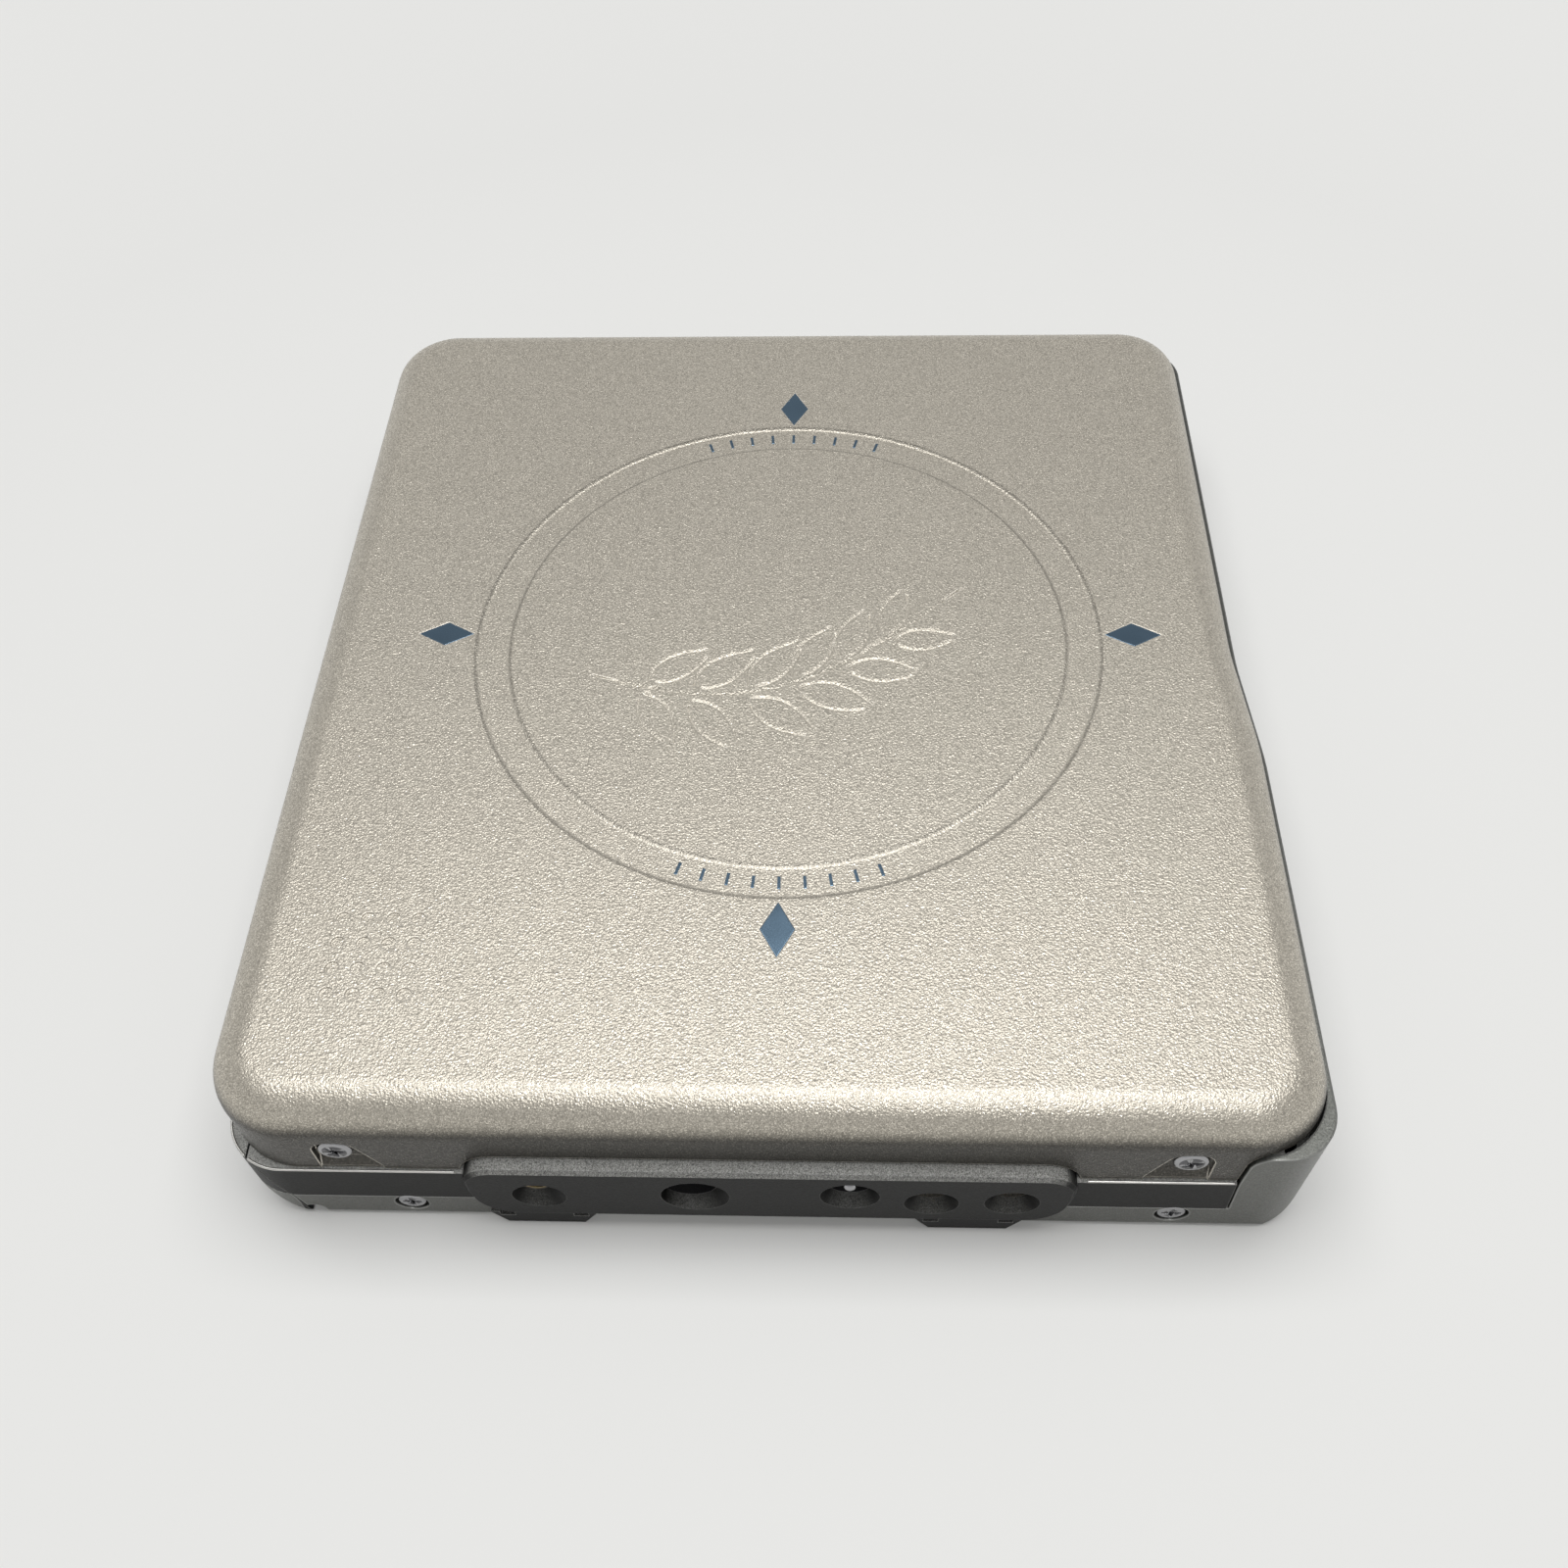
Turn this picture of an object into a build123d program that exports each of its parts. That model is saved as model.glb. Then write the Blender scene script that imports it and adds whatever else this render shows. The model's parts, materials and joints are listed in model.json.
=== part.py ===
"""Portable minidisc player: a flat case with a hinged lid, a tilting disc holder and its drive.

Millimetres. +Z is up, the base lies on z = 0. X runs from the opening side (-X) to the hinge
side (+X), and -Y is the near side, which carries the terminal bar. The origin is on the base,
below the middle of the case.
"""
import os
from math import degrees, pi, sin

from build123d import *

# ---- case ---------------------------------------------------------------------------------
BODY_WIDTH = 71.9           # along X, opening side to hinge side
BODY_DEPTH = 78.9           # along Y, near side to far side
BODY_HEIGHT = 14.7          # base to lid top
BODY_FRONT_CORNER = 4.2     # plan radius of the two corners on the opening side
BODY_HINGE_CORNER = 3.6     # plan radius of the two corners on the hinge side
JOG_NEAR_Y = -8.3           # the hinge side steps in between these two places
JOG_FAR_Y = 0.7
JOG_SOFTNESS = 30.0         # radius that eases the step
BODY_JOG = 0.75             # depth of the step in the case wall
COVER_SHEET = 0.4           # pressed sheet of the bottom cover
BAND_LOW = 3.2              # the dark frame's band starts at this height
HULL_FRONT_RUN = 4.75       # the flat base ends this far from the opening side
HULL_FRONT_RISE = 4.2       # height at which the slanted front reaches full width
HULL_FRONT_ROUND = 1.0      # softening of the slant's two ends
HULL_HINGE_ROUND = 4.4      # rounding of the base on the hinge side
HULL_LEAN = 0.55            # how an inner wall follows the slant
BASE_EDGE_ROUND = 0.7       # rounding of the base's near and far edges
SEAM_GAP = 0.15             # gap between neighbouring outer pieces
SHOULDER_BACK = 5.75        # the cover rises round the hinge corners, this far from the face
SHOULDER_DROP = 3.45        # from the lid's top down to the risen cover's rim
SHOULDER_ROUND = 1.6
SHOULDER_HEAD_RUN = 0.2     # the rise leans this much towards the hinge at its head
SHOULDER_FOOT_RUN = 0.15    # and at the band's foot
LEDGE_GAP = 0.2             # between the lid and the thick corners of the risen cover

# ---- lid ----------------------------------------------------------------------------------
LID_SIDE_INSET = 0.25       # lid skirt behind the case's near and far faces
LID_FRONT_INSET = 0.1
LID_HINGE_INSET = 0.55
LID_JOG = 0.8
LID_FRONT_CORNER = 5.5
LID_HINGE_CORNER = 5.2
LID_ROUND = 3.0             # rounding of the top edge
LID_SHEET = 0.45
LID_EDGE_GAP = 0.15         # gap between the skirt and the frame band
RING_X = 0.53               # the sunk ring's centre
RING_Y = 0.93
RING_OUTER = 23.68
RING_WIDE = 2.45
RING_DEPTH = 0.16
RING_SLOPE = 0.14           # the ring's walls lean out by this
INLAY_OUT = 2.52            # inlay centres from the ring's rim
INLAY_ANGLES = (0, 90, 180, 270)
INLAY_LONG = 2.1            # half lengths of an inlay's four points
INLAY_SHORT = 1.15
INLAY_THICK = 0.14
INLAY_GAP = 0.04
LID_SCREW_FRONT_IN = 8.35   # screw axes from the opening side's face
LID_SCREW_REAR_IN = 9.15    # and from the hinge side's face
LID_SCREW_DROP = 5.0        # below the lid's top
LID_SCREW_HEAD = 1.15       # radius
LID_SCREW_SHANK = 0.5
LID_SCREW_REACH = 1.4       # length of the shank
DENT_STEEP = 1.35           # the dent's steep side, from the screw
DENT_TOP = 1.5              # its top, and its sloping side's start
DENT_FOOT = 2.75            # its sloping side at the skirt's edge
DENT_SINK = 0.5
DENT_WALL = 0.35            # sheet behind the dent
DENT_LIP = 0.35             # height of the dent's straight foot
RAMP_IN = 0.08              # the dent's lower part leans out to this far behind the skirt
RAMP_RISE = 1.0
RAMP_EDGE = 0.2             # thickness of its foot

# ---- hinge and disc holder ----------------------------------------------------------------
HINGE_BACK = 4.75           # hinge axis from the hinge side's face
HINGE_DROP = 3.4            # below the lid's top
HINGE_PIN = 0.55            # radius
HINGE_HEAD = 0.9
HINGE_HEAD_THICK = 0.3
HINGE_CLEARANCE = 0.03      # radial, in the turning arms
HINGE_EYE = 1.1             # radius of the arms' round ends
DISC_FRONT_ROOM = 1.2       # the cartridge's room inside the case, on each side
DISC_REAR_ROOM = 2.7
DISC_SIDE_ROOM = 3.45
DISC_ROOF_ROOM = 1.2
DISC_THICK = 5.0
DISC_PLAY = 0.1
HOLDER_SHEET = 0.25
HOLDER_LIP = 3.2            # width of the lips that carry the cartridge
HOLDER_FRONT_BACK = 0.95    # the holder's mouth behind the cartridge's front
HOLDER_WALL_BACK = 1.55
HOLDER_REAR_BACK = 1.25
HOLDER_CORNER = 1.6
HOLDER_LIP_SHORT = 3.7      # the lips end this far from the hinge
HOLDER_WINDOW_LONG = 40.0   # opening in the holder's top
HOLDER_WINDOW_WIDE = 34.0
HOLDER_WINDOW_ROUND = 5.0
ARM_NECK = 1.8              # the arms narrow to their eyes over this length
STOP_IN = 12.1              # the cartridge stops, from the holder's walls
STOP_WIDE = 6.0
STOP_DROP = 3.6
RAIL_SHEET = 0.3            # lid frame rails
RAIL_GAP = 0.15             # between the stacked side walls
RAIL_RISE = 0.5             # rails above the holder
RAIL_SHORT = 4.7            # the rail's top ends this far from the hinge
RAIL_FRONT_BACK = 4.45      # from the opening side's face
RAIL_SOFT = 0.5
STRAP_SHEET = 0.2
STRAP_GAP = 0.1
STRAP_WIDE = 4.0
STRAP_REAR_BACK = 9.2       # from the hinge
SCREW_TAB_HALF = 1.6
SCREW_TAB_DROP = 1.5
EAR_SHEET = 0.45

# ---- mechanism deck -----------------------------------------------------------------------
DECK_ROOM = 1.1             # under the cartridge
DECK_SHEET = 0.4
DECK_FRONT_IN = 4.95        # deck edges from the case's faces
DECK_REAR_IN = 2.55
NOTCH_GAP = 1.3             # between the terminals and the deck's notch
NOTCH_BEHIND = 2.7
DAMPER_RADIUS = 1.2
DAMPER_THICK = 0.8
DAMPER_GAP = 0.1
POST_RADIUS = 1.15
POST_WEB = 1.0              # half thickness of the webs that tie the posts to the wall
POST_NEAR_IN = 5.45         # post places from the near and far faces
POST_FAR_IN = 4.95
POST_REAR_IN = 7.95
POST_WALL_GAP = 1.4         # post centres from the bay wall
DECK_SCREW_HOLE = 0.6
DECK_SCREW_HEAD = 1.1
DECK_SCREW_PLAY = 0.05
SPINDLE_Y = 0.0
SPINDLE_SHAFT = 0.6
SPINDLE_FLANGE = 6.2
SPINDLE_RIM = 1.2           # width of the turntable's raised rim
SPINDLE_BOSS = 2.0
SPINDLE_REACH = 0.8         # boss top above the cartridge's underside
SPINDLE_LIFT = 0.15         # turntable above the deck
SPINDLE_THICK = 0.4
MOTOR_RADIUS = 7.6
MOTOR_FLANGE = 0.6          # flange beyond the can
MOTOR_FLANGE_THICK = 0.5
MOTOR_SOFT = 0.8
MOTOR_NECK = 1.5            # bearing neck's radius
MOTOR_FLOOR_ROOM = 1.45     # above the board
RUN_CLEARANCE = 0.04

# ---- pickup and its drive -----------------------------------------------------------------
LENS_REST_Y = 14.5
SLED_HALF_X = 9.0
SLED_HALF_Y = 4.2
SLED_CORNER = 1.2
SLED_FLOOR_ROOM = 0.85      # above the board
SLED_ROOF_ROOM = 0.7        # below the deck
SLED_POCKET_X = 4.2         # the two pockets on the sled's top
SLED_POCKET_WIDE = 2.6
SLED_POCKET_DEEP = 0.9
LENS_RADIUS = 1.7
LENS_WALL = 1.1
LENS_SEAT = 1.3             # depth of the lens's seat below its top
LENS_ROOM = 0.75            # lens top below the cartridge
TOWER_DROP = 0.7            # tower rim below the lens top
LENS_DOME = 3.65            # radius of the lens's curve
LENS_RIM = 0.2
ROD_RADIUS = 0.75
ROD_OFFSET = 7.4            # guide rods from the spindle's X
ROD_DROP = 0.2              # rods below the sled's middle
ROD_FAR_IN = 3.05           # rod ends from the far face
TAB_SHEET = 0.4
TAB_HALF = 1.25
TRAVEL_END = 0.65           # room left at each end of the pickup's travel
SCREW_OFFSET = 14.2         # lead screw from the spindle's X
SCREW_RADIUS = 0.8
SCREW_ABOVE = 0.4           # lead screw above the middle of cover and deck
SCREW_REACH = 2.9           # lead screw's near end beyond its tab
NUT_HALF = 1.6
NUT_WALL = 0.8
NUT_ARM = 1.1
GEAR_MODULE = 0.2
GEAR_TEETH = 24
GEAR_THICK = 1.2
GEAR_RELIEF = 0.4           # room cut round the gear in deck and board
PINION_TEETH = 10
PINION_SHAFT = 0.4
PINION_REACH = 3.0
SLED_MOTOR_RADIUS = 2.55
SLED_MOTOR_LONG = 9.0
SLED_MOTOR_GAP = 0.6
MOTOR_FOOT = 1.5            # half width of the motor's foot
MOTOR_FOOT_SHORT = 1.0

# ---- terminal bar -------------------------------------------------------------------------
BAR_LEFT_X = -20.1
BAR_RIGHT_X = 20.3
BAR_LOW_Z = 2.35
BAR_RISE = 1.95             # bar's top above the band
BAR_ROUNDNESS = 0.333       # upper corner radius as a share of the bar's height
BAR_FOOT_ROUNDNESS = 0.44   # and the lower corners'
BAR_LEAN = 1.0              # each end is this much shorter at the bottom
BAR_DRAFT = 0.7             # and at the front
BAR_PROUD = 0.75            # in front of the case
BAR_DEEP = 2.6
BAR_EDGE = 0.25
BAR_GAP = 0.25              # gap to the lid's cut-out
RIM_DEPTH = 0.9             # depth of the cones in front of each socket
RIM_OFFSET = 0.4            # the first two cones are off-centre by this
SOCKET_PLAY = 0.02
BUSH_X = -15.3
BUSH_BELOW = 0.25           # below the bar's middle
BUSH_RIM = 1.8
BUSH_HOLE = 0.8
BUSH_THROAT = 0.95
BUSH_RADIUS = 1.5
BUSH_LONG = 3.2
BUSH_FLOOR = 0.4
JACK_X = -5.05
JACK_RIM = 2.25
JACK_HOLE = 1.78
JACK_RADIUS = 2.05
JACK_LONG = 13.0
SUPPLY_X = 5.4
SUPPLY_RIM = 1.95
SUPPLY_HOLE = 1.4
SUPPLY_RADIUS = 1.7
SUPPLY_LONG = 8.5
SUPPLY_PIN = 0.5
SUPPLY_PIN_FRONT = 0.45     # its tip in front of the barrel
SOCKET_ROOM = 0.25          # socket barrels below the holder's lips
SOCKET_WALL = 0.4
SOCKET_FLOOR = 0.6
CONTACT_X = (10.7, 15.9)
CONTACT_BELOW = (0.55, 0.3)
CONTACT_RIM = 1.8
CONTACT_HOLE = 1.15
CONTACT_SINK = 0.75
CONTACT_TIP = 0.7
LIP_X = (-15.2, 13.35)      # two latch lips under the bar
LIP_HALF = 2.5
LIP_FLARE = 1.15
LIP_PROUD = 0.45
LIP_TOP = 1.9
LIP_POCKET_HALF = 0.5
LIP_POCKET_HIGH = 0.6

# ---- battery and its door -----------------------------------------------------------------
CELL_END_ROOM = 5.95        # between the cell's ends and the near and far faces
CELL_LOW_Z = 0.75
CELL_ROOF_ROOM = 0.25
CELL_FRONT_GAP = 0.15       # between the cell and the door's barrel
CELL_PLAY = 0.3
CELL_CORNER = 1.0
BAY_WALL = 0.7
POST_LANE = 2.65            # between the bay wall and the sled
STRIP_IN = 5.4              # contact strips from the cell's front
STRIP_LONG = 7.0
STRIP_FOOT = 5.0
STRIP_REACH = 3.0
STRIP_LOW = 1.7             # strips above the cell's underside
STRIP_HIGH = 2.6
STRIP_SHEET = 0.25
STRIP_PLAY = 0.02
DOOR_HINGE_BACK = 4.75      # door hinge from the opening side's face
DOOR_BARREL = 0.65
DOOR_WALL = 0.8
DOOR_TOP_BACK = 1.65        # the door's end seam, from the face, at the band's top
DOOR_MID_BACK = 3.75        # and at the band's foot
DOOR_SOFT = 2.0
DOOR_PIN = 0.3
DOOR_PIN_LONG = 1.2
DOOR_PIN_PLAY = 0.1
DOOR_LUG = 0.9
DOOR_LUG_LONG = 1.6
DOOR_END_GAP = 0.1
DOOR_END_ROOM = 0.35

# ---- frame, board, fasteners, keys --------------------------------------------------------
FRAME_WALL = 1.5
FRAME_PLAY = 0.05           # frame inside the cover
BOARD_LOW_Z = 0.85
BOARD_THICK = 0.8
BOARD_GAP = 0.2
BOARD_REAR_IN = 5.15
BOARD_CORNER = 2.0
CHIP_TALL = 1.1
CHIP_REAR_IN = 6.8          # chip row from the board's hinge-side edge
CHIPS = ((17.9, 9.0, 9.0), (51.9, 7.0, 10.0), (7.9, 5.0, 6.0))    # from the far wall, width, length
BODY_SCREW_FRONT_IN = 11.75
BODY_SCREW_REAR_IN = 9.15
BODY_SCREW_Z = 2.15
BODY_SCREW_HEAD = 1.0
BODY_SCREW_SHANK = 0.45
BODY_SCREW_LONG = 1.2
BODY_SCREW_SINK = 0.45
HEAD_THICK = 0.4
HEAD_GAP = 0.15
KEY_PROUD = 0.5
KEY_GAP = 0.12
KEY_DROP = 7.1              # key centres below the lid's top
KEY_HALF_Z = 1.5
KEY_SOFT = 0.25
KEY_FLANGE = 0.3            # flange beyond the cap
KEY_FLANGE_THICK = 0.45
KEY_BACK_ROOM = 0.4         # flange to the wall's inside
KEY_RIB = 0.4               # radius of the rocking keys' ribs
ROCKER_IN = 11.55           # rocker's centre from the far face
ROCKER_HALF = 5.15
PLAY_Y = 7.35
PLAY_HALF = 2.65
KEY_BOARD_SHEET = 0.4
KEY_BOARD_BACK = 0.75       # behind the keys' flanges
KEY_BOARD_OVER = 1.0
KEY_BOARD_FLOOR = 1.75      # above the main board
SLOT_HALF_Z = 0.9
SLIDER_PROUD = 0.3
SLIDER_SINK = 0.45
SLIDER_NECK = 1.0
SLIDER_NECK_Z = 0.5
SLIDER_SOFT = 0.4
RIB_STEP = 0.8
RIB_WIDE = 0.3
RIB_DEEP = 0.15
OPEN_IN = 13.95             # open slider from the opening side's face
OPEN_HALF = 4.0
OPEN_TRAVEL = 2.5
OPEN_RIBS = 5
LATCH_FRONT = 4.4
LATCH_REAR = 2.6
LATCH_SHEET = 0.45
HOLD_IN = 21.95             # hold switch from the hinge side's face
HOLD_HALF = 2.6
HOLD_TRAVEL = 2.0
HOLD_RIBS = 3
VOLUME_X = -3.0
VOLUME_HALF = 5.0
VOLUME_HALF_Z = 1.1
VOLUME_PROUD = 0.35
SPRING_BACK = 19.2          # lift springs from the hinge
SPRING_BASE = 3.0
SPRING_RUN = 5.0
SPRING_TIP = 1.0
SPRING_SHEET = 0.2
SPRING_PLAY = 0.05

# ---- worked out from the above ------------------------------------------------------------
SIDES = (-1, 1)
HALF_W = BODY_WIDTH / 2
HALF_D = BODY_DEPTH / 2
FAR = 2 * BODY_DEPTH        # longer than anything, for cuts that go right through
DISC_FRONT_X = -HALF_W + DISC_FRONT_ROOM
DISC_REAR_X = HALF_W - DISC_REAR_ROOM
DISC_TOP_Z = BODY_HEIGHT - DISC_ROOF_ROOM
DISC_BOTTOM_Z = DISC_TOP_Z - DISC_THICK
HOLDER_IN_Y = HALF_D - DISC_SIDE_ROOM + DISC_PLAY
HOLDER_OUT_Y = HOLDER_IN_Y + HOLDER_SHEET
HOLDER_TOP_Z = DISC_TOP_Z + DISC_PLAY
HOLDER_LOW_Z = DISC_BOTTOM_Z - DISC_PLAY - HOLDER_SHEET
HINGE_X = HALF_W - HINGE_BACK
HINGE_Z = BODY_HEIGHT - HINGE_DROP
RAIL_IN_Y = HOLDER_OUT_Y + RAIL_GAP
RAIL_OUT_Y = RAIL_IN_Y + RAIL_SHEET
EAR_IN_Y = RAIL_OUT_Y + RAIL_GAP
EAR_OUT_Y = EAR_IN_Y + EAR_SHEET
DECK_TOP = DISC_BOTTOM_Z - DECK_ROOM
DECK_LOW = DECK_TOP - DECK_SHEET
BAND_TOP = DECK_TOP - 0.1
LID_EDGE_Z = BAND_TOP + LID_EDGE_GAP
LID_Y = HALF_D - LID_SIDE_INSET
LID_SCREW_X = (-HALF_W + LID_SCREW_FRONT_IN, HALF_W - LID_SCREW_REAR_IN)
LID_SCREW_Z = BODY_HEIGHT - LID_SCREW_DROP
SHOULDER_X = HALF_W - SHOULDER_BACK
SHOULDER_Z = BODY_HEIGHT - SHOULDER_DROP
WALL_X_FAR = HALF_W - BODY_JOG      # outer face of the hinge-side wall, far half
INNER_Y = HALF_D - FRAME_WALL
BOARD_TOP = BOARD_LOW_Z + BOARD_THICK
SPINDLE_X = (DISC_FRONT_X + DISC_REAR_X) / 2
SLED_LOW_Z = BOARD_TOP + SLED_FLOOR_ROOM
SLED_TOP_Z = DECK_LOW - SLED_ROOF_ROOM
LENS_TOP_Z = DISC_BOTTOM_Z - LENS_ROOM
ROD_Z = (SLED_LOW_Z + SLED_TOP_Z) / 2 - ROD_DROP
ROD_X = (SPINDLE_X - ROD_OFFSET, SPINDLE_X + ROD_OFFSET)
ROD_NEAR_Y = LENS_REST_Y - SLED_HALF_Y - TAB_SHEET - TRAVEL_END
ROD_FAR_Y = HALF_D - ROD_FAR_IN
PICKUP_TRAVEL = ROD_FAR_Y - TAB_SHEET - TRAVEL_END - SLED_HALF_Y - LENS_REST_Y
SCREW_X = SPINDLE_X + SCREW_OFFSET
SCREW_Z = (COVER_SHEET + DECK_TOP) / 2 + SCREW_ABOVE
SCREW_NEAR_Y = ROD_NEAR_Y - SCREW_REACH
GEAR_PITCH_R = GEAR_MODULE * GEAR_TEETH / 2
PINION_PITCH_R = GEAR_MODULE * PINION_TEETH / 2
PINION_X = SCREW_X + GEAR_PITCH_R + PINION_PITCH_R
MOTOR_HIGH_Y = SCREW_NEAR_Y - SLED_MOTOR_GAP
BAR_FRONT_Y = -(HALF_D + BAR_PROUD)
BAR_BACK_Y = BAR_FRONT_Y + BAR_DEEP
BAR_TOP_Z = BAND_TOP + BAR_RISE
BAR_MID_Z = (BAR_LOW_Z + BAR_TOP_Z) / 2
BAR_CORNER = BAR_ROUNDNESS * (BAR_TOP_Z - BAR_LOW_Z)
BAR_FOOT_CORNER = BAR_FOOT_ROUNDNESS * (BAR_TOP_Z - BAR_LOW_Z)
SOCKET_Y = BAR_FRONT_Y + RIM_DEPTH
BUSH_Z = BAR_MID_Z - BUSH_BELOW
JACK_Z = HOLDER_LOW_Z - SOCKET_ROOM - JACK_RADIUS
SUPPLY_Z = HOLDER_LOW_Z - SOCKET_ROOM - SUPPLY_RADIUS
CONTACTS = tuple((x, BAR_MID_Z - drop) for x, drop in zip(CONTACT_X, CONTACT_BELOW))
DOOR_HINGE_X = -HALF_W + DOOR_HINGE_BACK
DOOR_HINGE_Z = DOOR_BARREL
DOOR_END_Y = INNER_Y - DOOR_END_ROOM
CELL_FRONT_X = DOOR_HINGE_X + DOOR_BARREL + CELL_FRONT_GAP
BAY_X = SPINDLE_X - SLED_HALF_X - POST_LANE     # hinge-side face of the bay wall
CELL_REAR_X = BAY_X - BAY_WALL - CELL_PLAY
CELL_TOP_Z = DECK_LOW - CELL_ROOF_ROOM
CELL_END_Y = HALF_D - CELL_END_ROOM
BODY_SCREW_X = (-HALF_W + BODY_SCREW_FRONT_IN, HALF_W - BODY_SCREW_REAR_IN)
BOARD_REAR_X = HALF_W - BOARD_REAR_IN
KEY_Z = BODY_HEIGHT - KEY_DROP
ROCKER_Y = HALF_D - ROCKER_IN
WALL_KEYS = ((ROCKER_Y, ROCKER_HALF), (PLAY_Y, PLAY_HALF))
KEY_BACK_X = WALL_X_FAR - COVER_SHEET - KEY_BACK_ROOM - KEY_FLANGE_THICK
KEY_BOARD_X = KEY_BACK_X - KEY_BOARD_BACK - KEY_BOARD_SHEET
SLIDER_Z = (BAND_LOW + BAND_TOP) / 2
OPEN_X = -HALF_W + OPEN_IN
HOLD_X = HALF_W - HOLD_IN
VOLUME_BACK_Y = INNER_Y - 0.7
POSTS = (
    (BAY_X + POST_WALL_GAP, -HALF_D + POST_NEAR_IN),
    (HALF_W - POST_REAR_IN, -HALF_D + POST_NEAR_IN),
    (BAY_X + POST_WALL_GAP, HALF_D - POST_FAR_IN),
    (HALF_W - POST_REAR_IN, HALF_D - POST_FAR_IN),
)


# ---- helpers ------------------------------------------------------------------------------
def block(x_range, y_range, z_range):
    """A box from its low and high places on each axis."""
    spans = [high - low for low, high in (x_range, y_range, z_range)]
    middle = [(low + high) / 2 for low, high in (x_range, y_range, z_range)]
    return Pos(*middle) * Box(*spans)


def about(centre, half):
    """The low and high place of a length about its centre."""
    return (centre - half, centre + half)


def side_range(side, inner, outer):
    """The low and high Y of a layer between two distances on one side."""
    return tuple(sorted((side * inner, side * outer)))


def rod_y(x, z, radius, y_low, y_high):
    """A round bar along Y."""
    return Pos(x, (y_low + y_high) / 2, z) * Rot(90, 0, 0) * Cylinder(radius, y_high - y_low)


def rod_z(x, y, radius, z_low, z_high):
    """A round bar along Z."""
    return Pos(x, y, (z_low + z_high) / 2) * Cylinder(radius, z_high - z_low)


def rim_cone(x, z, rim, throat, offset):
    """The cone in front of a socket, whose rim may lie off the socket's axis."""
    cone = loft([Circle(throat), Pos(offset, 0, RIM_DEPTH) * Circle(rim)], ruled=True)
    return Pos(x, SOCKET_Y, z) * Rot(90, 0, 0) * cone


def profile_xz(points, radii, y_low, y_high):
    """A closed outline in X and Z, with rounded corners, drawn out along Y."""
    face = make_face(FilletPolyline(*points, radius=radii, close=True))
    return Pos(0, y_high, 0) * extrude(Plane.XZ * face, y_high - y_low)


def plan(x_front, x_hinge, jog, y_half, front_corner, hinge_corner):
    """The outline from above, with the step in the hinge side."""
    points = [
        (x_front, -y_half),
        (x_hinge, -y_half),
        (x_hinge, JOG_NEAR_Y),
        (x_hinge - jog, JOG_FAR_Y),
        (x_hinge - jog, y_half),
        (x_front, y_half),
    ]
    radii = [front_corner, hinge_corner, JOG_SOFTNESS, JOG_SOFTNESS, hinge_corner, front_corner]
    return make_face(FilletPolyline(*points, radius=radii, close=True))


def body_plan(inset, z_low, z_high):
    """The case's outline, drawn in by inset, between two heights."""
    face = plan(-HALF_W + inset, HALF_W - inset, BODY_JOG, HALF_D - inset,
                BODY_FRONT_CORNER - inset, BODY_HINGE_CORNER - inset)
    return extrude(Pos(0, 0, z_low) * face, z_high - z_low)


def lid_outline(inset, z_low, z_high):
    """The lid's outline, drawn in by inset, between two heights."""
    face = plan(-HALF_W + LID_FRONT_INSET + inset, HALF_W - LID_HINGE_INSET - inset, LID_JOG,
                LID_Y - inset, LID_FRONT_CORNER - inset, LID_HINGE_CORNER - inset)
    return extrude(Pos(0, 0, z_low) * face, z_high - z_low)


def lid_solid(inset, z_low, z_high):
    """The same with its top edge rounded."""
    solid = lid_outline(inset, z_low, z_high)
    return fillet(solid.faces().sort_by(Axis.Z)[-1].edges(), LID_ROUND - inset)


def section(inset, jog):
    """The case's section across X: slanted front, round hinge side, stepped in by jog."""
    lean = inset * HULL_LEAN
    rear = HALF_W - jog - inset
    top = SHOULDER_Z + 1
    points = [
        (-HALF_W + HULL_FRONT_RUN + lean, inset),
        (rear, inset),
        (rear, top),
        (-HALF_W + inset, top),
        (-HALF_W + inset, HULL_FRONT_RISE + lean),
    ]
    radii = [HULL_FRONT_ROUND, HULL_HINGE_ROUND - inset, 0, 0, HULL_FRONT_ROUND]
    return Plane.XZ * make_face(FilletPolyline(*points, radius=radii, close=True))


def hull(inset):
    """The case's body from its two sections, with the near and far base edges rounded."""
    reach = HALF_D + 1
    near = Pos(0, JOG_NEAR_Y, 0) * section(inset, 0)
    far = Pos(0, JOG_FAR_Y, 0) * section(inset, BODY_JOG)
    solid = extrude(near, reach + JOG_NEAR_Y) + loft([near, far], ruled=True)
    solid += extrude(far, JOG_FAR_Y - reach)
    flat = HALF_W - HULL_FRONT_RUN - HULL_FRONT_ROUND
    solid += block((-flat, flat), (-reach, reach), (inset - 1, inset + 1))
    half = HALF_D - inset
    top = SHOULDER_Z + 1
    points = [(-half, inset), (half, inset), (half, top), (-half, top)]
    soft = BASE_EDGE_ROUND - inset / 2
    face = make_face(FilletPolyline(*points, radius=[soft, soft, 0, 0], close=True))
    return solid & extrude(Plane.YZ * face, HALF_W, both=True)


def shoulder(gap):
    """The region that the cover takes round the hinge corners, grown by gap."""
    points = [
        (SHOULDER_X + SHOULDER_FOOT_RUN - gap, -1),
        (HALF_W + 1, -1),
        (HALF_W + 1, SHOULDER_Z + gap),
        (SHOULDER_X + SHOULDER_HEAD_RUN - gap, SHOULDER_Z + gap),
        (SHOULDER_X - gap, BAND_TOP),
        (SHOULDER_X + SHOULDER_FOOT_RUN - gap, BAND_LOW),
    ]
    radii = [0, 0, 0, SHOULDER_ROUND + gap, 0, 0]
    return profile_xz(points, radii, -HALF_D - 1, HALF_D + 1)


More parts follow.
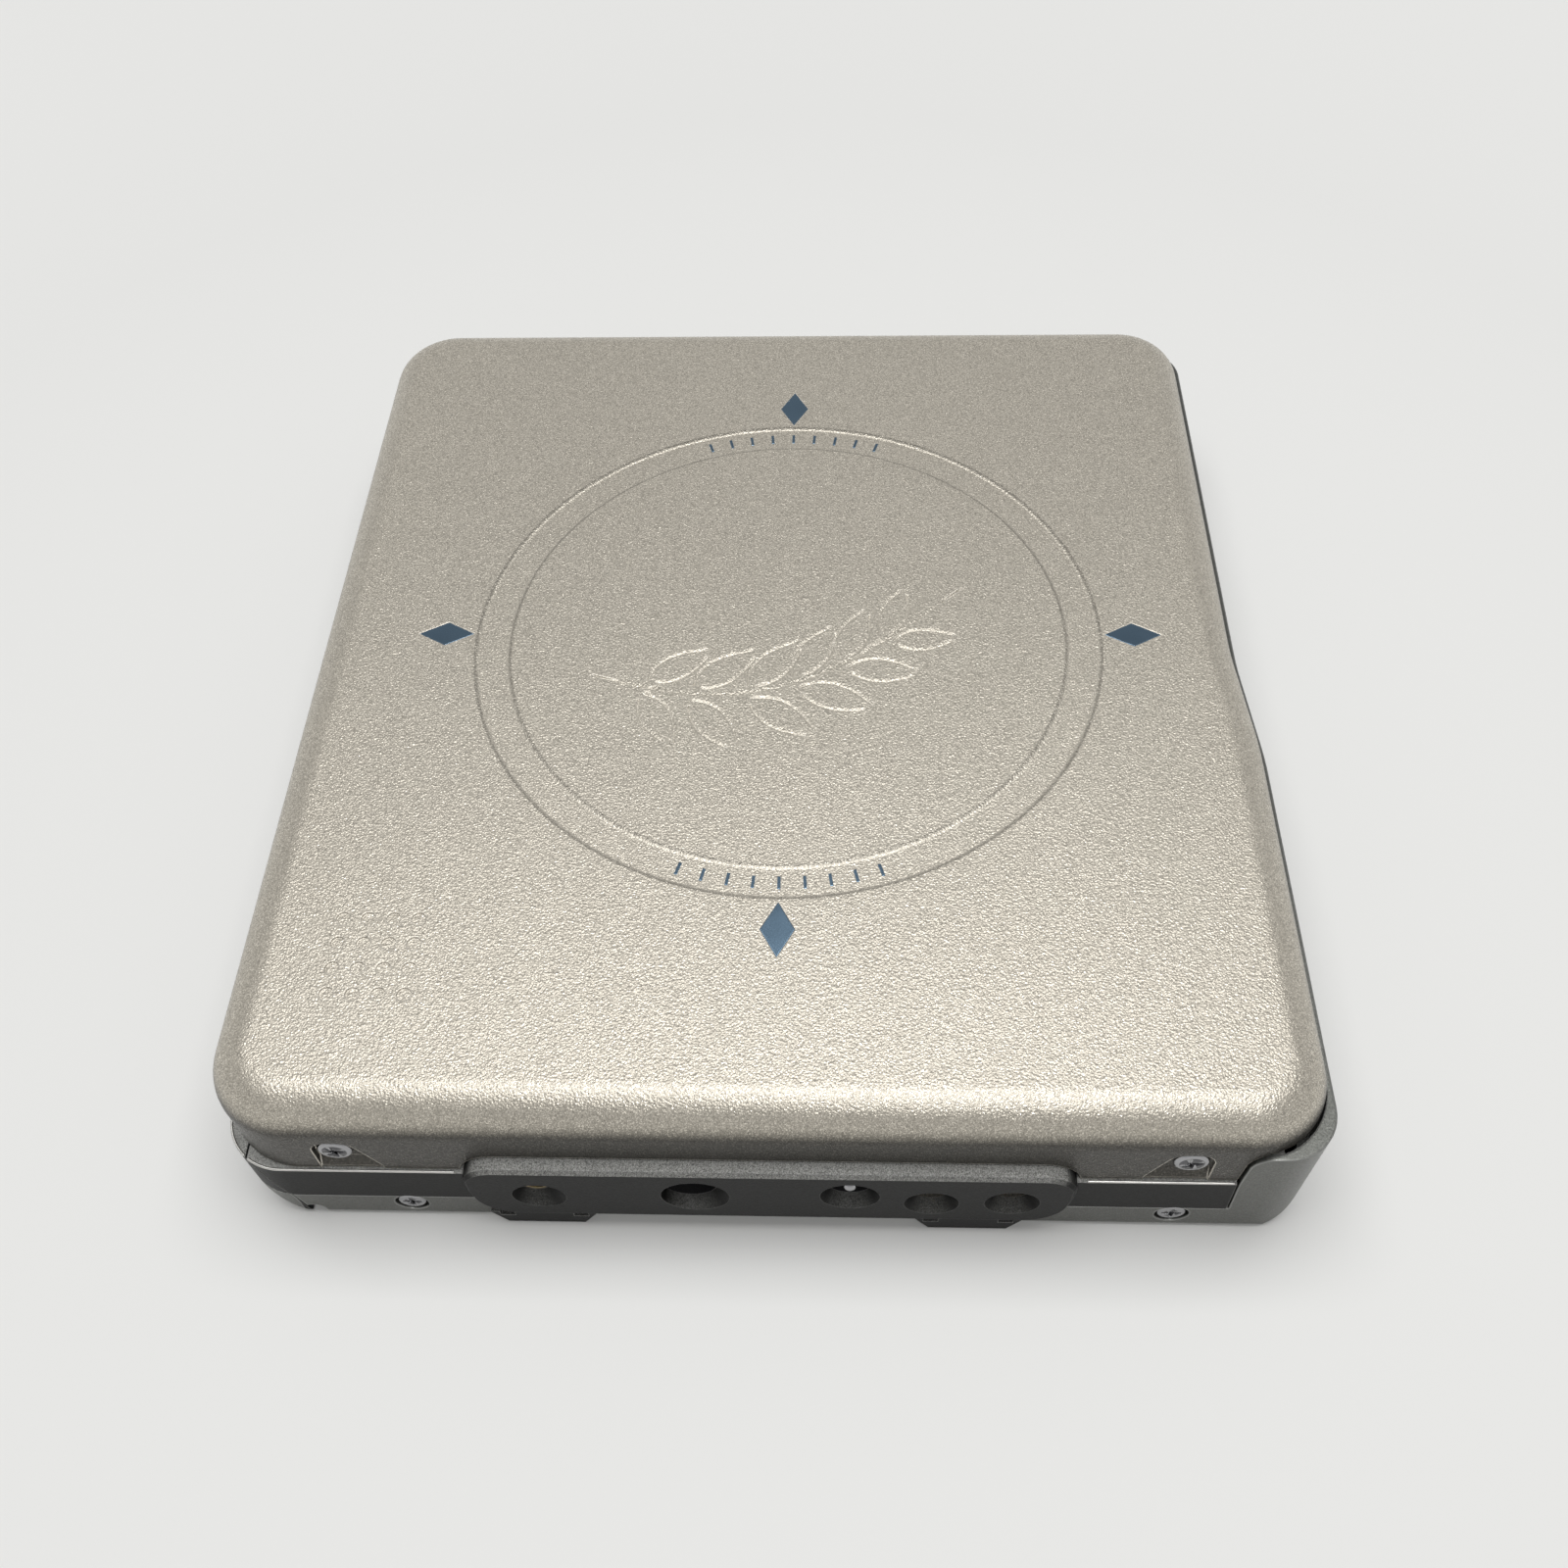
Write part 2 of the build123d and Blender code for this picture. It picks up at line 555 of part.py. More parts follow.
def door_zone(gap):
    """The region at the opening side that swings with the battery door, grown by gap."""
    points = [
        (-HALF_W - 1, -1),
        (DOOR_HINGE_X + gap, -1),
        (-HALF_W + DOOR_MID_BACK + gap, BAND_LOW),
        (-HALF_W + DOOR_TOP_BACK + gap, BAND_TOP),
        (-HALF_W - 1, BAND_TOP),
    ]
    return profile_xz(points, [0, 0, DOOR_SOFT, 0, 0], -HALF_D - 1, HALF_D + 1)


def bar_outline(gap):
    """The terminal bar seen from the near side, grown by gap, as points and corner radii."""
    points = [
        (BAR_LEFT_X + BAR_LEAN - gap, BAR_LOW_Z - gap),
        (BAR_RIGHT_X - BAR_LEAN + gap, BAR_LOW_Z - gap),
        (BAR_RIGHT_X + gap, BAR_TOP_Z + gap),
        (BAR_LEFT_X - gap, BAR_TOP_Z + gap),
    ]
    return points, [BAR_FOOT_CORNER + gap] * 2 + [BAR_CORNER + gap] * 2


def bar_zone(gap, y_low, y_high):
    """The terminal bar's outline, grown by gap, between two places along Y."""
    return profile_xz(*bar_outline(gap), y_low, y_high)


def bar_nose():
    """The bar's softened front, drawn in by the edge's width."""
    small, large = [make_face(FilletPolyline(*points, radius=radii, close=True))
                    for points, radii in (bar_outline(-BAR_EDGE), bar_outline(0))]
    nose = loft([small, Pos(0, 0, -BAR_EDGE) * large], ruled=True)
    return Pos(0, BAR_FRONT_Y, 0) * Rot(90, 0, 0) * nose


def dent(x, grow, y_low, y_high):
    """The bell-shaped dent round a lid screw, steep on its outer side, open at the skirt's edge."""
    out = 1 if x > 0 else -1
    steep, top, foot = DENT_STEEP + grow, DENT_TOP + grow, DENT_FOOT + grow
    points = [
        (x + out * steep, LID_EDGE_Z - 1),
        (x + out * steep, LID_SCREW_Z + top),
        (x - out * top * 0.8, LID_SCREW_Z + top),
        (x - out * foot, LID_EDGE_Z + DENT_LIP),
        (x - out * foot, LID_EDGE_Z - 1),
    ]
    return profile_xz(points, [0, top * 0.8, top * 0.8, DENT_LIP, 0], y_low, y_high)


def screw(radius, head, reach, thick):
    """A small pan-head screw along +Z, with its cross recess; its seat is at z = 0."""
    body = Pos(0, 0, -reach / 2) * Cylinder(radius, reach)
    cap = Pos(0, 0, thick / 2) * Cylinder(head, thick)
    cap = fillet(cap.faces().sort_by(Axis.Z)[-1].edges(), thick * 0.6)
    arm = Pos(0, 0, thick) * (Box(head * 1.3, head * 0.3, thick) + Box(head * 0.3, head * 1.3, thick))
    return body + cap - arm


def side_screws(one, places, z, seat_y):
    """Four of the screw in the near and far faces, heads outwards."""
    out = []
    for x in places:
        for side in SIDES:
            out.append(Pos(x, side * seat_y, z) * Rot(-90 * side, 0, 0) * one)
    return Compound(children=out)


def spur(teeth, thick):
    """A spur gear about Y, with its low face at y = 0."""
    pitch = GEAR_MODULE * teeth / 2
    tip = pitch + GEAR_MODULE * 0.75
    root = pitch - GEAR_MODULE * 1.05
    step = 2 * pi / teeth
    tooth = make_face(Polyline(
        (root * 0.8, -root * sin(step * 0.26)),
        (root, -root * sin(step * 0.26)),
        (tip, -tip * sin(step * 0.11)),
        (tip, tip * sin(step * 0.11)),
        (root, root * sin(step * 0.26)),
        (root * 0.8, root * sin(step * 0.26)),
        close=True,
    ))
    face = Circle(root) + [Rot(0, 0, degrees(step) * i) * tooth for i in range(teeth)]
    return Rot(-90, 0, 0) * extrude(face, thick)


# ---- case pieces --------------------------------------------------------------------------
def bottom_cover():
    """The pressed cover: flat base, low sides, and the tall wall on the hinge side."""
    outer = body_plan(0, 0, SHOULDER_Z) & hull(0)
    inner = body_plan(COVER_SHEET, COVER_SHEET, SHOULDER_Z + 1) & hull(COVER_SHEET)
    low = block((-HALF_W - 1, HALF_W + 1), (-HALF_D - 1, HALF_D + 1), (-1, BAND_LOW))
    shell = (outer - inner) & (low + shoulder(0))
    corners = block((SHOULDER_X, HALF_W), (-HALF_D, HALF_D), (BAND_TOP, SHOULDER_Z)) & shoulder(0)
    shell += (corners & body_plan(0, BAND_TOP, SHOULDER_Z)) - lid_outline(-LEDGE_GAP, 0, BODY_HEIGHT)
    shell -= door_zone(SEAM_GAP)
    shell -= rod_y(DOOR_HINGE_X, DOOR_HINGE_Z, DOOR_BARREL + SEAM_GAP, -HALF_D - 1, HALF_D + 1)
    shell -= bar_zone(SEAM_GAP, -HALF_D - 1, -HALF_D + 1)
    for x in LIP_X:
        shell -= lip_zone(x, SEAM_GAP, -HALF_D - 1, -HALF_D + COVER_SHEET + FRAME_PLAY / 2)
    for x in BODY_SCREW_X:
        shell -= rod_y(x, BODY_SCREW_Z, BODY_SCREW_HEAD + HEAD_GAP, -FAR, FAR)
    for y, half in WALL_KEYS:
        shell -= key_window(y, half)
    return shell


def lip_zone(x, gap, y_low, y_high):
    """The outline of a latch lip up to the terminal bar, grown by gap."""
    wide = LIP_HALF + LIP_FLARE + gap
    points = [
        (x - LIP_HALF - gap, -gap),
        (x + LIP_HALF + gap, -gap),
        (x + wide, LIP_TOP),
        (x + wide, BAR_LOW_Z),
        (x - wide, BAR_LOW_Z),
        (x - wide, LIP_TOP),
    ]
    return profile_xz(points, [0] * 6, y_low, y_high)


def lip(x):
    """A proud latch lip of the frame at the base's near edge, with a pocket over each end."""
    root_low = COVER_SHEET + FRAME_PLAY + BASE_EDGE_ROUND
    span = block(about(x, FAR), about(0, FAR), (0, LIP_TOP))
    tongue = lip_zone(x, 0, -HALF_D - LIP_PROUD, -HALF_D + COVER_SHEET / 2) & span
    tongue = chamfer(tongue.faces().sort_by(Axis.Y)[0].edges().sort_by(Axis.Z)[0], LIP_PROUD / 2)
    for side in SIDES:
        middle = x + side * LIP_HALF
        tongue -= block(about(middle, LIP_POCKET_HALF), (-HALF_D - 1, -HALF_D + COVER_SHEET / 2),
                        (LIP_TOP - LIP_POCKET_HIGH, LIP_TOP + 1))
    root = lip_zone(x, 0, -HALF_D, -INNER_Y) & block(about(x, FAR), about(0, FAR), (root_low, LIP_TOP))
    return tongue + root


def key_window(y, half):
    """The window that a key works in, in the hinge-side wall."""
    return block((KEY_BACK_X, HALF_W + 1), about(y, half + KEY_GAP), about(KEY_Z, KEY_HALF_Z + KEY_GAP))


def mid_frame():
    """The dark moulded frame: the band round the case, its inner skirt and the bay wall."""
    inset = COVER_SHEET + FRAME_PLAY
    band = body_plan(0, BAND_LOW + 0.02, BAND_TOP) & hull(0)
    band -= shoulder(SEAM_GAP)
    skirt = body_plan(inset, inset, BAND_TOP) & hull(inset)
    frame = band + skirt - body_plan(FRAME_WALL, 0, BAND_TOP + 1)
    frame -= door_zone(SEAM_GAP)
    frame -= rod_y(DOOR_HINGE_X, DOOR_HINGE_Z, DOOR_BARREL + SEAM_GAP, -HALF_D, HALF_D)
    frame += block((BAY_X - BAY_WALL, BAY_X), about(0, INNER_Y + 0.1), (inset, DECK_LOW))
    for x, y in POSTS:
        frame += rod_z(x, y, POST_RADIUS, BOARD_TOP, DECK_LOW - DAMPER_THICK)
        edge = INNER_Y + 0.1 if y > 0 else -INNER_Y - 0.1
        frame += block(about(x, POST_WEB), tuple(sorted((y, edge))), (BOARD_TOP, DECK_LOW - DAMPER_THICK))
    for x, y in POSTS:
        frame -= rod_z(x, y, DAMPER_RADIUS + DAMPER_GAP, DECK_LOW - DAMPER_THICK, BODY_HEIGHT)
    frame -= bar_zone(SOCKET_PLAY, -HALF_D - 1, BAR_BACK_Y + SOCKET_PLAY)
    for x in BODY_SCREW_X:
        for side in SIDES:
            head = side_range(side, HALF_D - BODY_SCREW_SINK, HALF_D + 1)
            frame -= rod_y(x, BODY_SCREW_Z, BODY_SCREW_HEAD + HEAD_GAP, *head)
            frame -= rod_y(x, BODY_SCREW_Z, BODY_SCREW_SHANK, *side_range(side, INNER_Y - 1, HALF_D))
    for x, half, travel in ((OPEN_X, OPEN_HALF, OPEN_TRAVEL), (HOLD_X, HOLD_HALF, HOLD_TRAVEL)):
        frame -= block((x - half - KEY_GAP, x + half + travel + KEY_GAP),
                       (HALF_D - SLIDER_SINK - 0.05, HALF_D + 1), about(SLIDER_Z, SLOT_HALF_Z + KEY_GAP))
        frame -= block((x - SLIDER_NECK - KEY_GAP, x + SLIDER_NECK + travel + KEY_GAP),
                       (INNER_Y - 1, HALF_D), about(SLIDER_Z, SLIDER_NECK_Z + KEY_GAP))
    for y, half in WALL_KEYS:
        frame -= block((KEY_BACK_X - KEY_RIB, HALF_W), about(y, half + KEY_FLANGE + 2 * KEY_GAP),
                       (KEY_Z - KEY_HALF_Z - KEY_FLANGE - 2 * KEY_GAP, BODY_HEIGHT))
    frame -= block(about(VOLUME_X, VOLUME_HALF + KEY_GAP), (INNER_Y - 1, HALF_D + 1),
                   about(SLIDER_Z, VOLUME_HALF_Z + KEY_GAP))
    for side in SIDES:
        frame += door_lug(side)
    for x in LIP_X:
        frame += lip(x)
    return frame


def mech_deck():
    """The stamped deck, with the two ears that hold the hinge pins."""
    rear = HALF_W - DECK_REAR_IN
    deck = block((-HALF_W + DECK_FRONT_IN, rear), about(0, EAR_OUT_Y), (DECK_LOW, DECK_TOP))
    notch_y = SOCKET_Y + JACK_LONG + SOCKET_FLOOR + NOTCH_BEHIND
    deck -= block((BAR_LEFT_X - NOTCH_GAP, BAR_RIGHT_X + NOTCH_GAP), (-FAR, notch_y), (0, BODY_HEIGHT))
    deck -= rod_z(SPINDLE_X, SPINDLE_Y, SPINDLE_FLANGE + MOTOR_FLANGE, 0, BODY_HEIGHT)
    slot_wide = 2 * (LENS_RADIUS + LENS_WALL) + 3 * GEAR_RELIEF + 2
    slot_long = PICKUP_TRAVEL + slot_wide
    slot = SlotOverall(slot_long, slot_wide, rotation=90)
    deck -= Pos(SPINDLE_X, LENS_REST_Y + PICKUP_TRAVEL / 2, 0) * extrude(slot, BODY_HEIGHT)
    deck -= block((KEY_BOARD_X - 0.2, rear + 1), (JOG_FAR_Y, FAR), (0, BODY_HEIGHT))
    deck -= gear_room()
    for side in SIDES:
        layer = side_range(side, EAR_IN_Y, EAR_OUT_Y)
        deck += block(about(HINGE_X, HINGE_EYE), layer, (DECK_LOW, HINGE_Z))
        deck += rod_y(HINGE_X, HINGE_Z, HINGE_EYE, *layer)
    deck -= rod_y(HINGE_X, HINGE_Z, HINGE_PIN, -FAR, FAR)
    for x, y in POSTS:
        deck -= rod_z(x, y, DECK_SCREW_HOLE, 0, BODY_HEIGHT)
    return deck + rod_tabs()


def gear_room():
    """The window that the gear and the sled motor need in the deck and the board."""
    reach = GEAR_PITCH_R + GEAR_MODULE + GEAR_RELIEF
    room = block((SCREW_X - reach, SCREW_X + reach),
                 (SCREW_NEAR_Y - GEAR_RELIEF, SCREW_NEAR_Y + GEAR_THICK + GEAR_RELIEF), (-1, BODY_HEIGHT))
    wide = SLED_MOTOR_RADIUS * 0.8
    low = MOTOR_HIGH_Y - SLED_MOTOR_LONG + 2 * MOTOR_FOOT_SHORT
    return room + block(about(PINION_X, wide), (low, MOTOR_HIGH_Y), (-1, BOARD_TOP + 1))


def rod_tabs():
    """The tabs under the deck that hold the guide rods and the lead screw."""
    places = [(x, ROD_Z, ROD_RADIUS) for x in ROD_X]
    places.append((SCREW_X, SCREW_Z, SCREW_RADIUS + RUN_CLEARANCE))
    tabs = []
    for x, z, radius in places:
        for y in (ROD_NEAR_Y, ROD_FAR_Y - TAB_SHEET):
            tab = block(about(x, TAB_HALF), (y, y + TAB_SHEET), (z - TAB_HALF, DECK_LOW + DECK_SHEET / 2))
            tabs.append(tab - rod_y(x, z, radius, y - 1, y + 1))
    return tabs


def hinge_pins():
    """Two headed pins, pressed into the deck's ears."""
    pins = []
    for side in SIDES:
        pin = rod_y(HINGE_X, HINGE_Z, HINGE_PIN, *side_range(side, HOLDER_IN_Y, EAR_OUT_Y))
        layer = side_range(side, EAR_OUT_Y, EAR_OUT_Y + HINGE_HEAD_THICK)
        pins.append(pin + rod_y(HINGE_X, HINGE_Z, HINGE_HEAD, *layer))
    return Compound(children=pins)


def deck_dampers():
    """Four rubber collars under the deck."""
    rings = []
    for x, y in POSTS:
        ring = rod_z(x, y, DAMPER_RADIUS, DECK_LOW - DAMPER_THICK, DECK_LOW)
        rings.append(ring - rod_z(x, y, DECK_SCREW_HOLE, 0, BODY_HEIGHT))
    return Compound(children=rings)


def deck_screws():
    """Four screws through the deck and its dampers."""
    one = screw(DECK_SCREW_HOLE - DECK_SCREW_PLAY, DECK_SCREW_HEAD, DECK_SHEET + DAMPER_THICK, HEAD_THICK)
    return Compound(children=[Pos(x, y, DECK_TOP) * one for x, y in POSTS])


def body_screws():
    """The screws that hold the cover to the frame, two on each long side."""
    one = screw(BODY_SCREW_SHANK, BODY_SCREW_HEAD, BODY_SCREW_LONG, HEAD_THICK)
    return side_screws(one, BODY_SCREW_X, BODY_SCREW_Z, HALF_D - BODY_SCREW_SINK)


# ---- lid ----------------------------------------------------------------------------------
def inlay_shape(grow):
    """A slim four-pointed figure."""
    long = INLAY_LONG + grow
    short = INLAY_SHORT + grow
    return make_face(Polyline((long, 0), (0, short), (-long, 0), (0, -short), close=True))


def inlay_places():
    """Where the four inlays lie, each pointing at the ring's centre."""
    centre = Pos(RING_X, RING_Y, 0)
    return [centre * Rot(0, 0, angle) * Pos(RING_OUTER + INLAY_OUT, 0, 0) for angle in INLAY_ANGLES]


def lid_cover():
    """The pressed lid with its deep skirt, sunk ring and screw dents."""
    cover = lid_solid(0, LID_EDGE_Z, BODY_HEIGHT)
    cover -= lid_solid(LID_SHEET, LID_EDGE_Z - 1, BODY_HEIGHT - LID_SHEET)
    skirt = block((-HALF_W, HALF_W), (-HALF_D, HALF_D), (LID_EDGE_Z, BODY_HEIGHT - LID_ROUND + LID_SHEET))
    for x in LID_SCREW_X:
        for side in SIDES:
            layer = side_range(side, LID_Y - DENT_SINK - DENT_WALL, LID_Y - LID_SHEET + 0.1)
            cover += dent(x, DENT_WALL, *layer) & skirt
    cover -= shoulder(SEAM_GAP)
    cover -= bar_zone(BAR_GAP, -HALF_D - 1, BAR_BACK_Y)
    for x in LID_SCREW_X:
        for side in SIDES:
            cover -= dent(x, 0, *side_range(side, LID_Y - DENT_SINK, LID_Y + 1)) - dent_ramp(side)
        cover -= rod_y(x, LID_SCREW_Z, LID_SCREW_SHANK, -FAR, FAR)
    cover -= sunk_ring()
    for place in inlay_places():
        cover -= Pos(0, 0, BODY_HEIGHT - INLAY_THICK) * place * extrude(inlay_shape(INLAY_GAP), 1)
    return cover


def dent_ramp(side):
    """The metal in front of a dent's back that leans out to the skirt's edge."""
    back, face = side * (LID_Y - DENT_SINK), side * (LID_Y - RAMP_IN)
    outline = Polyline(
        (back, LID_EDGE_Z),
        (face, LID_EDGE_Z),
        (face, LID_EDGE_Z + RAMP_EDGE),
        (back, LID_EDGE_Z + RAMP_RISE),
        close=True,
    )
    return extrude(Plane.YZ * make_face(outline), HALF_W, both=True)


def sunk_ring():
    """The shallow ring in the lid's face, with leaning walls."""
    inner = RING_OUTER - RING_WIDE
    bowl = Cone(RING_OUTER - RING_SLOPE, RING_OUTER, RING_DEPTH)
    island = Cone(inner + RING_SLOPE, inner, RING_DEPTH)
    return Pos(RING_X, RING_Y, BODY_HEIGHT - RING_DEPTH / 2) * (bowl - island)


def lid_inlays():
    """Four thin bright inlays, level with the lid's face."""
    low = Pos(0, 0, BODY_HEIGHT - INLAY_THICK)
    one = extrude(inlay_shape(0), INLAY_THICK)
    return Compound(children=[low * place * one for place in inlay_places()])


def lid_screws():
    """Four screws through the lid's dents into its frame."""
    one = screw(LID_SCREW_SHANK, LID_SCREW_HEAD, LID_SCREW_REACH, HEAD_THICK)
    return side_screws(one, LID_SCREW_X, LID_SCREW_Z, LID_Y - DENT_SINK)


def lid_frame():
    """Two side rails with hinge arms, tied by two straps under the lid."""
    front = -HALF_W + RAIL_FRONT_BACK
    top = HOLDER_TOP_Z + RAIL_RISE
    frame = Part()
    for side in SIDES:
        layer = side_range(side, RAIL_IN_Y, RAIL_OUT_Y)
        points = [
            (front, DISC_BOTTOM_Z),
            (HINGE_X - HOLDER_LIP_SHORT, DISC_BOTTOM_Z),
            (HINGE_X - ARM_NECK, HINGE_Z - HINGE_EYE),
            (HINGE_X, HINGE_Z - HINGE_EYE),
            (HINGE_X, HINGE_Z + HINGE_EYE),
            (HINGE_X - ARM_NECK, HINGE_Z + HINGE_EYE),
            (HINGE_X - RAIL_SHORT, top),
            (front, top),
        ]
        radii = [RAIL_SOFT, 2 * RAIL_SOFT, RAIL_SOFT, 0, 0, RAIL_SOFT, 2 * RAIL_SOFT, 2 * RAIL_SOFT]
        rail = profile_xz(points, radii, *layer)
        rail += rod_y(HINGE_X, HINGE_Z, HINGE_EYE, *layer)
        for x in LID_SCREW_X:
            tab = side_range(side, RAIL_OUT_Y - RAIL_SHEET / 2, LID_Y - DENT_SINK - DENT_WALL)
            rail += block(about(x, SCREW_TAB_HALF), tab, about(LID_SCREW_Z, SCREW_TAB_DROP))
        frame += rail
    low = HOLDER_TOP_Z + HOLDER_SHEET + STRAP_GAP
    for x in (front, HINGE_X - STRAP_REAR_BACK):
        frame += block((x, x + STRAP_WIDE), about(0, RAIL_OUT_Y), (low, low + STRAP_SHEET))
    for x in LID_SCREW_X:
        frame -= rod_y(x, LID_SCREW_Z, LID_SCREW_SHANK, -FAR, FAR)
    return frame - rod_y(HINGE_X, HINGE_Z, HINGE_PIN + HINGE_CLEARANCE, -FAR, FAR)


# ---- disc holder --------------------------------------------------------------------------
def disc_holder():
    """The folded tray that takes the cartridge from the opening side."""
    front = DISC_FRONT_X + HOLDER_FRONT_BACK
    rear = DISC_REAR_X - HOLDER_REAR_BACK
    wall_front = DISC_FRONT_X + HOLDER_WALL_BACK
    lip_rear = HINGE_X - HOLDER_LIP_SHORT
    top = (HOLDER_TOP_Z, HOLDER_TOP_Z + HOLDER_SHEET)
    sheet = chamfer(Rectangle(rear - front, 2 * HOLDER_OUT_Y).vertices(), HOLDER_CORNER)
    tray = Pos((rear + front) / 2, 0, top[0]) * extrude(sheet, HOLDER_SHEET)
    window = RectangleRounded(HOLDER_WINDOW_WIDE, HOLDER_WINDOW_LONG, HOLDER_WINDOW_ROUND)
    tray -= Pos(SPINDLE_X, SPINDLE_Y, 0) * extrude(window, FAR)
    for side in SIDES:
        layer = side_range(side, HOLDER_IN_Y, HOLDER_OUT_Y)
        points = [
            (wall_front, HOLDER_LOW_Z),
            (lip_rear, HOLDER_LOW_Z),
            (HINGE_X - ARM_NECK, HINGE_Z - HINGE_EYE),
            (HINGE_X, HINGE_Z - HINGE_EYE),
            (HINGE_X, top[1]),
            (wall_front, top[1]),
        ]
        tray += profile_xz(points, [RAIL_SOFT, RAIL_SOFT, RAIL_SOFT, 0, 0, RAIL_SOFT], *layer)
        tray += rod_y(HINGE_X, HINGE_Z, HINGE_EYE, *layer)
        tray += block((wall_front, lip_rear), side_range(side, HOLDER_OUT_Y - HOLDER_LIP, HOLDER_OUT_Y),
                      (HOLDER_LOW_Z, HOLDER_LOW_Z + HOLDER_SHEET))
        tray += cartridge_stop(rear, side)
    return tray - rod_y(HINGE_X, HINGE_Z, HINGE_PIN + HINGE_CLEARANCE, -FAR, FAR)


def cartridge_stop(rear, side):
    """A strip folded down from the tray's rear edge, against which the cartridge stops."""
    face = DISC_REAR_X + DISC_PLAY
    fold = (face - rear) * 0.7
    top = HOLDER_TOP_Z + HOLDER_SHEET
    points = [
        (rear - 1, HOLDER_TOP_Z),
        (face - fold, HOLDER_TOP_Z),
        (face, HOLDER_TOP_Z - fold),
        (face, HOLDER_TOP_Z - STOP_DROP),
        (face + HOLDER_SHEET, HOLDER_TOP_Z - STOP_DROP),
        (face + HOLDER_SHEET, HOLDER_TOP_Z - fold + HOLDER_SHEET / 2),
        (face - fold + HOLDER_SHEET / 2, top),
        (rear - 1, top),
    ]
    start = HOLDER_IN_Y - STOP_IN
    return profile_xz(points, [0] * len(points), *side_range(side, start, start + STOP_WIDE))


def lift_springs():
    """Two leaf springs on the deck that push the lid's rails up."""
    low = HINGE_X - SPRING_BACK
    bend = low + SPRING_BASE
    tip = bend + SPRING_RUN
    high = DISC_BOTTOM_Z - SPRING_PLAY
    points = [
        (low, DECK_TOP),
        (bend, DECK_TOP),
        (tip, high - SPRING_SHEET),
        (tip + SPRING_TIP, high - SPRING_SHEET),
        (tip + SPRING_TIP, high),
        (tip, high),
        (bend, DECK_TOP + SPRING_SHEET),
        (low, DECK_TOP + SPRING_SHEET),
    ]
    layer = (RAIL_IN_Y - SPRING_PLAY, EAR_IN_Y - SPRING_PLAY)
    flat = [0] * len(points)
    return Compound(children=[profile_xz(points, flat, *side_range(side, *layer)) for side in SIDES])


# ---- terminal bar and its sockets ---------------------------------------------------------
def terminal_bar():
    """The moulded bar, drafted to its front, with five countersunk openings."""
    bar = bar_zone(0, BAR_FRONT_Y + BAR_EDGE, BAR_BACK_Y) + bar_nose()
    draft = Polyline(
        (BAR_LEFT_X + BAR_DRAFT, BAR_FRONT_Y),
        (BAR_RIGHT_X - BAR_DRAFT, BAR_FRONT_Y),
        (BAR_RIGHT_X, -HALF_D),
        (BAR_RIGHT_X, BAR_BACK_Y),
        (BAR_LEFT_X, BAR_BACK_Y),
        (BAR_LEFT_X, -HALF_D),
        close=True,
    )
    bar &= extrude(make_face(draft), BODY_HEIGHT)
    rims = [
        (BUSH_X, BUSH_Z, BUSH_RIM, BUSH_RADIUS, BUSH_THROAT, RIM_OFFSET),
        (JACK_X, JACK_Z, JACK_RIM, JACK_RADIUS, JACK_HOLE, RIM_OFFSET),
        (SUPPLY_X, SUPPLY_Z, SUPPLY_RIM, SUPPLY_RADIUS, SUPPLY_HOLE, 0),
    ]
    rims += [(x, z, CONTACT_RIM, CONTACT_HOLE, CONTACT_HOLE, 0) for x, z in CONTACTS]
    for x, z, rim, barrel, throat, offset in rims:
        bar -= rim_cone(x, z, rim, throat, offset)
        bar -= rod_y(x, z, barrel + SOCKET_PLAY, SOCKET_Y, BAR_BACK_Y + 1)
    return bar


def case_screw_bush():
    """The threaded bush that takes the outer battery case's screw."""
    bush = rod_y(BUSH_X, BUSH_Z, BUSH_RADIUS, SOCKET_Y, SOCKET_Y + BUSH_LONG)
    return bush - rod_y(BUSH_X, BUSH_Z, BUSH_HOLE, SOCKET_Y - 1, SOCKET_Y + BUSH_LONG - BUSH_FLOOR)


def socket(x, z, bore, barrel, long):
    """A barrel through the bar with a moulded housing behind it."""
    body = rod_y(x, z, barrel, SOCKET_Y, SOCKET_Y + long)
    back = SOCKET_Y + long + SOCKET_FLOOR
    body += block(about(x, barrel + SOCKET_WALL), (BAR_BACK_Y + SOCKET_PLAY, back), (BOARD_TOP, z + barrel))
    return body - rod_y(x, z, bore, SOCKET_Y - 1, SOCKET_Y + long)


def phone_jack():
    """The phone jack's barrel and housing."""
    return socket(JACK_X, JACK_Z, JACK_HOLE, JACK_RADIUS, JACK_LONG)


def supply_jack():
    """The supply jack's barrel and housing."""
    return socket(SUPPLY_X, SUPPLY_Z, SUPPLY_HOLE, SUPPLY_RADIUS, SUPPLY_LONG)


def supply_pin():
    """The centre pin of the supply jack, with a round tip."""
    pin = rod_y(SUPPLY_X, SUPPLY_Z, SUPPLY_PIN, SOCKET_Y - SUPPLY_PIN_FRONT, SOCKET_Y + SUPPLY_LONG)
    return fillet(pin.faces().sort_by(Axis.Y)[0].edges(), SUPPLY_PIN * 0.8)


def case_contacts():
    """Two domed contacts at the back of their openings."""
    front = SOCKET_Y + CONTACT_SINK
    out = []
    for x, z in CONTACTS:
        stud = rod_y(x, z, CONTACT_HOLE, front, BAR_BACK_Y + 0.5)
        dome = Pos(x, front, z) * Sphere(CONTACT_TIP)
        out.append(stud + (dome - block(about(x, FAR), (front + 0.1, FAR), about(z, FAR))))
    return Compound(children=out)


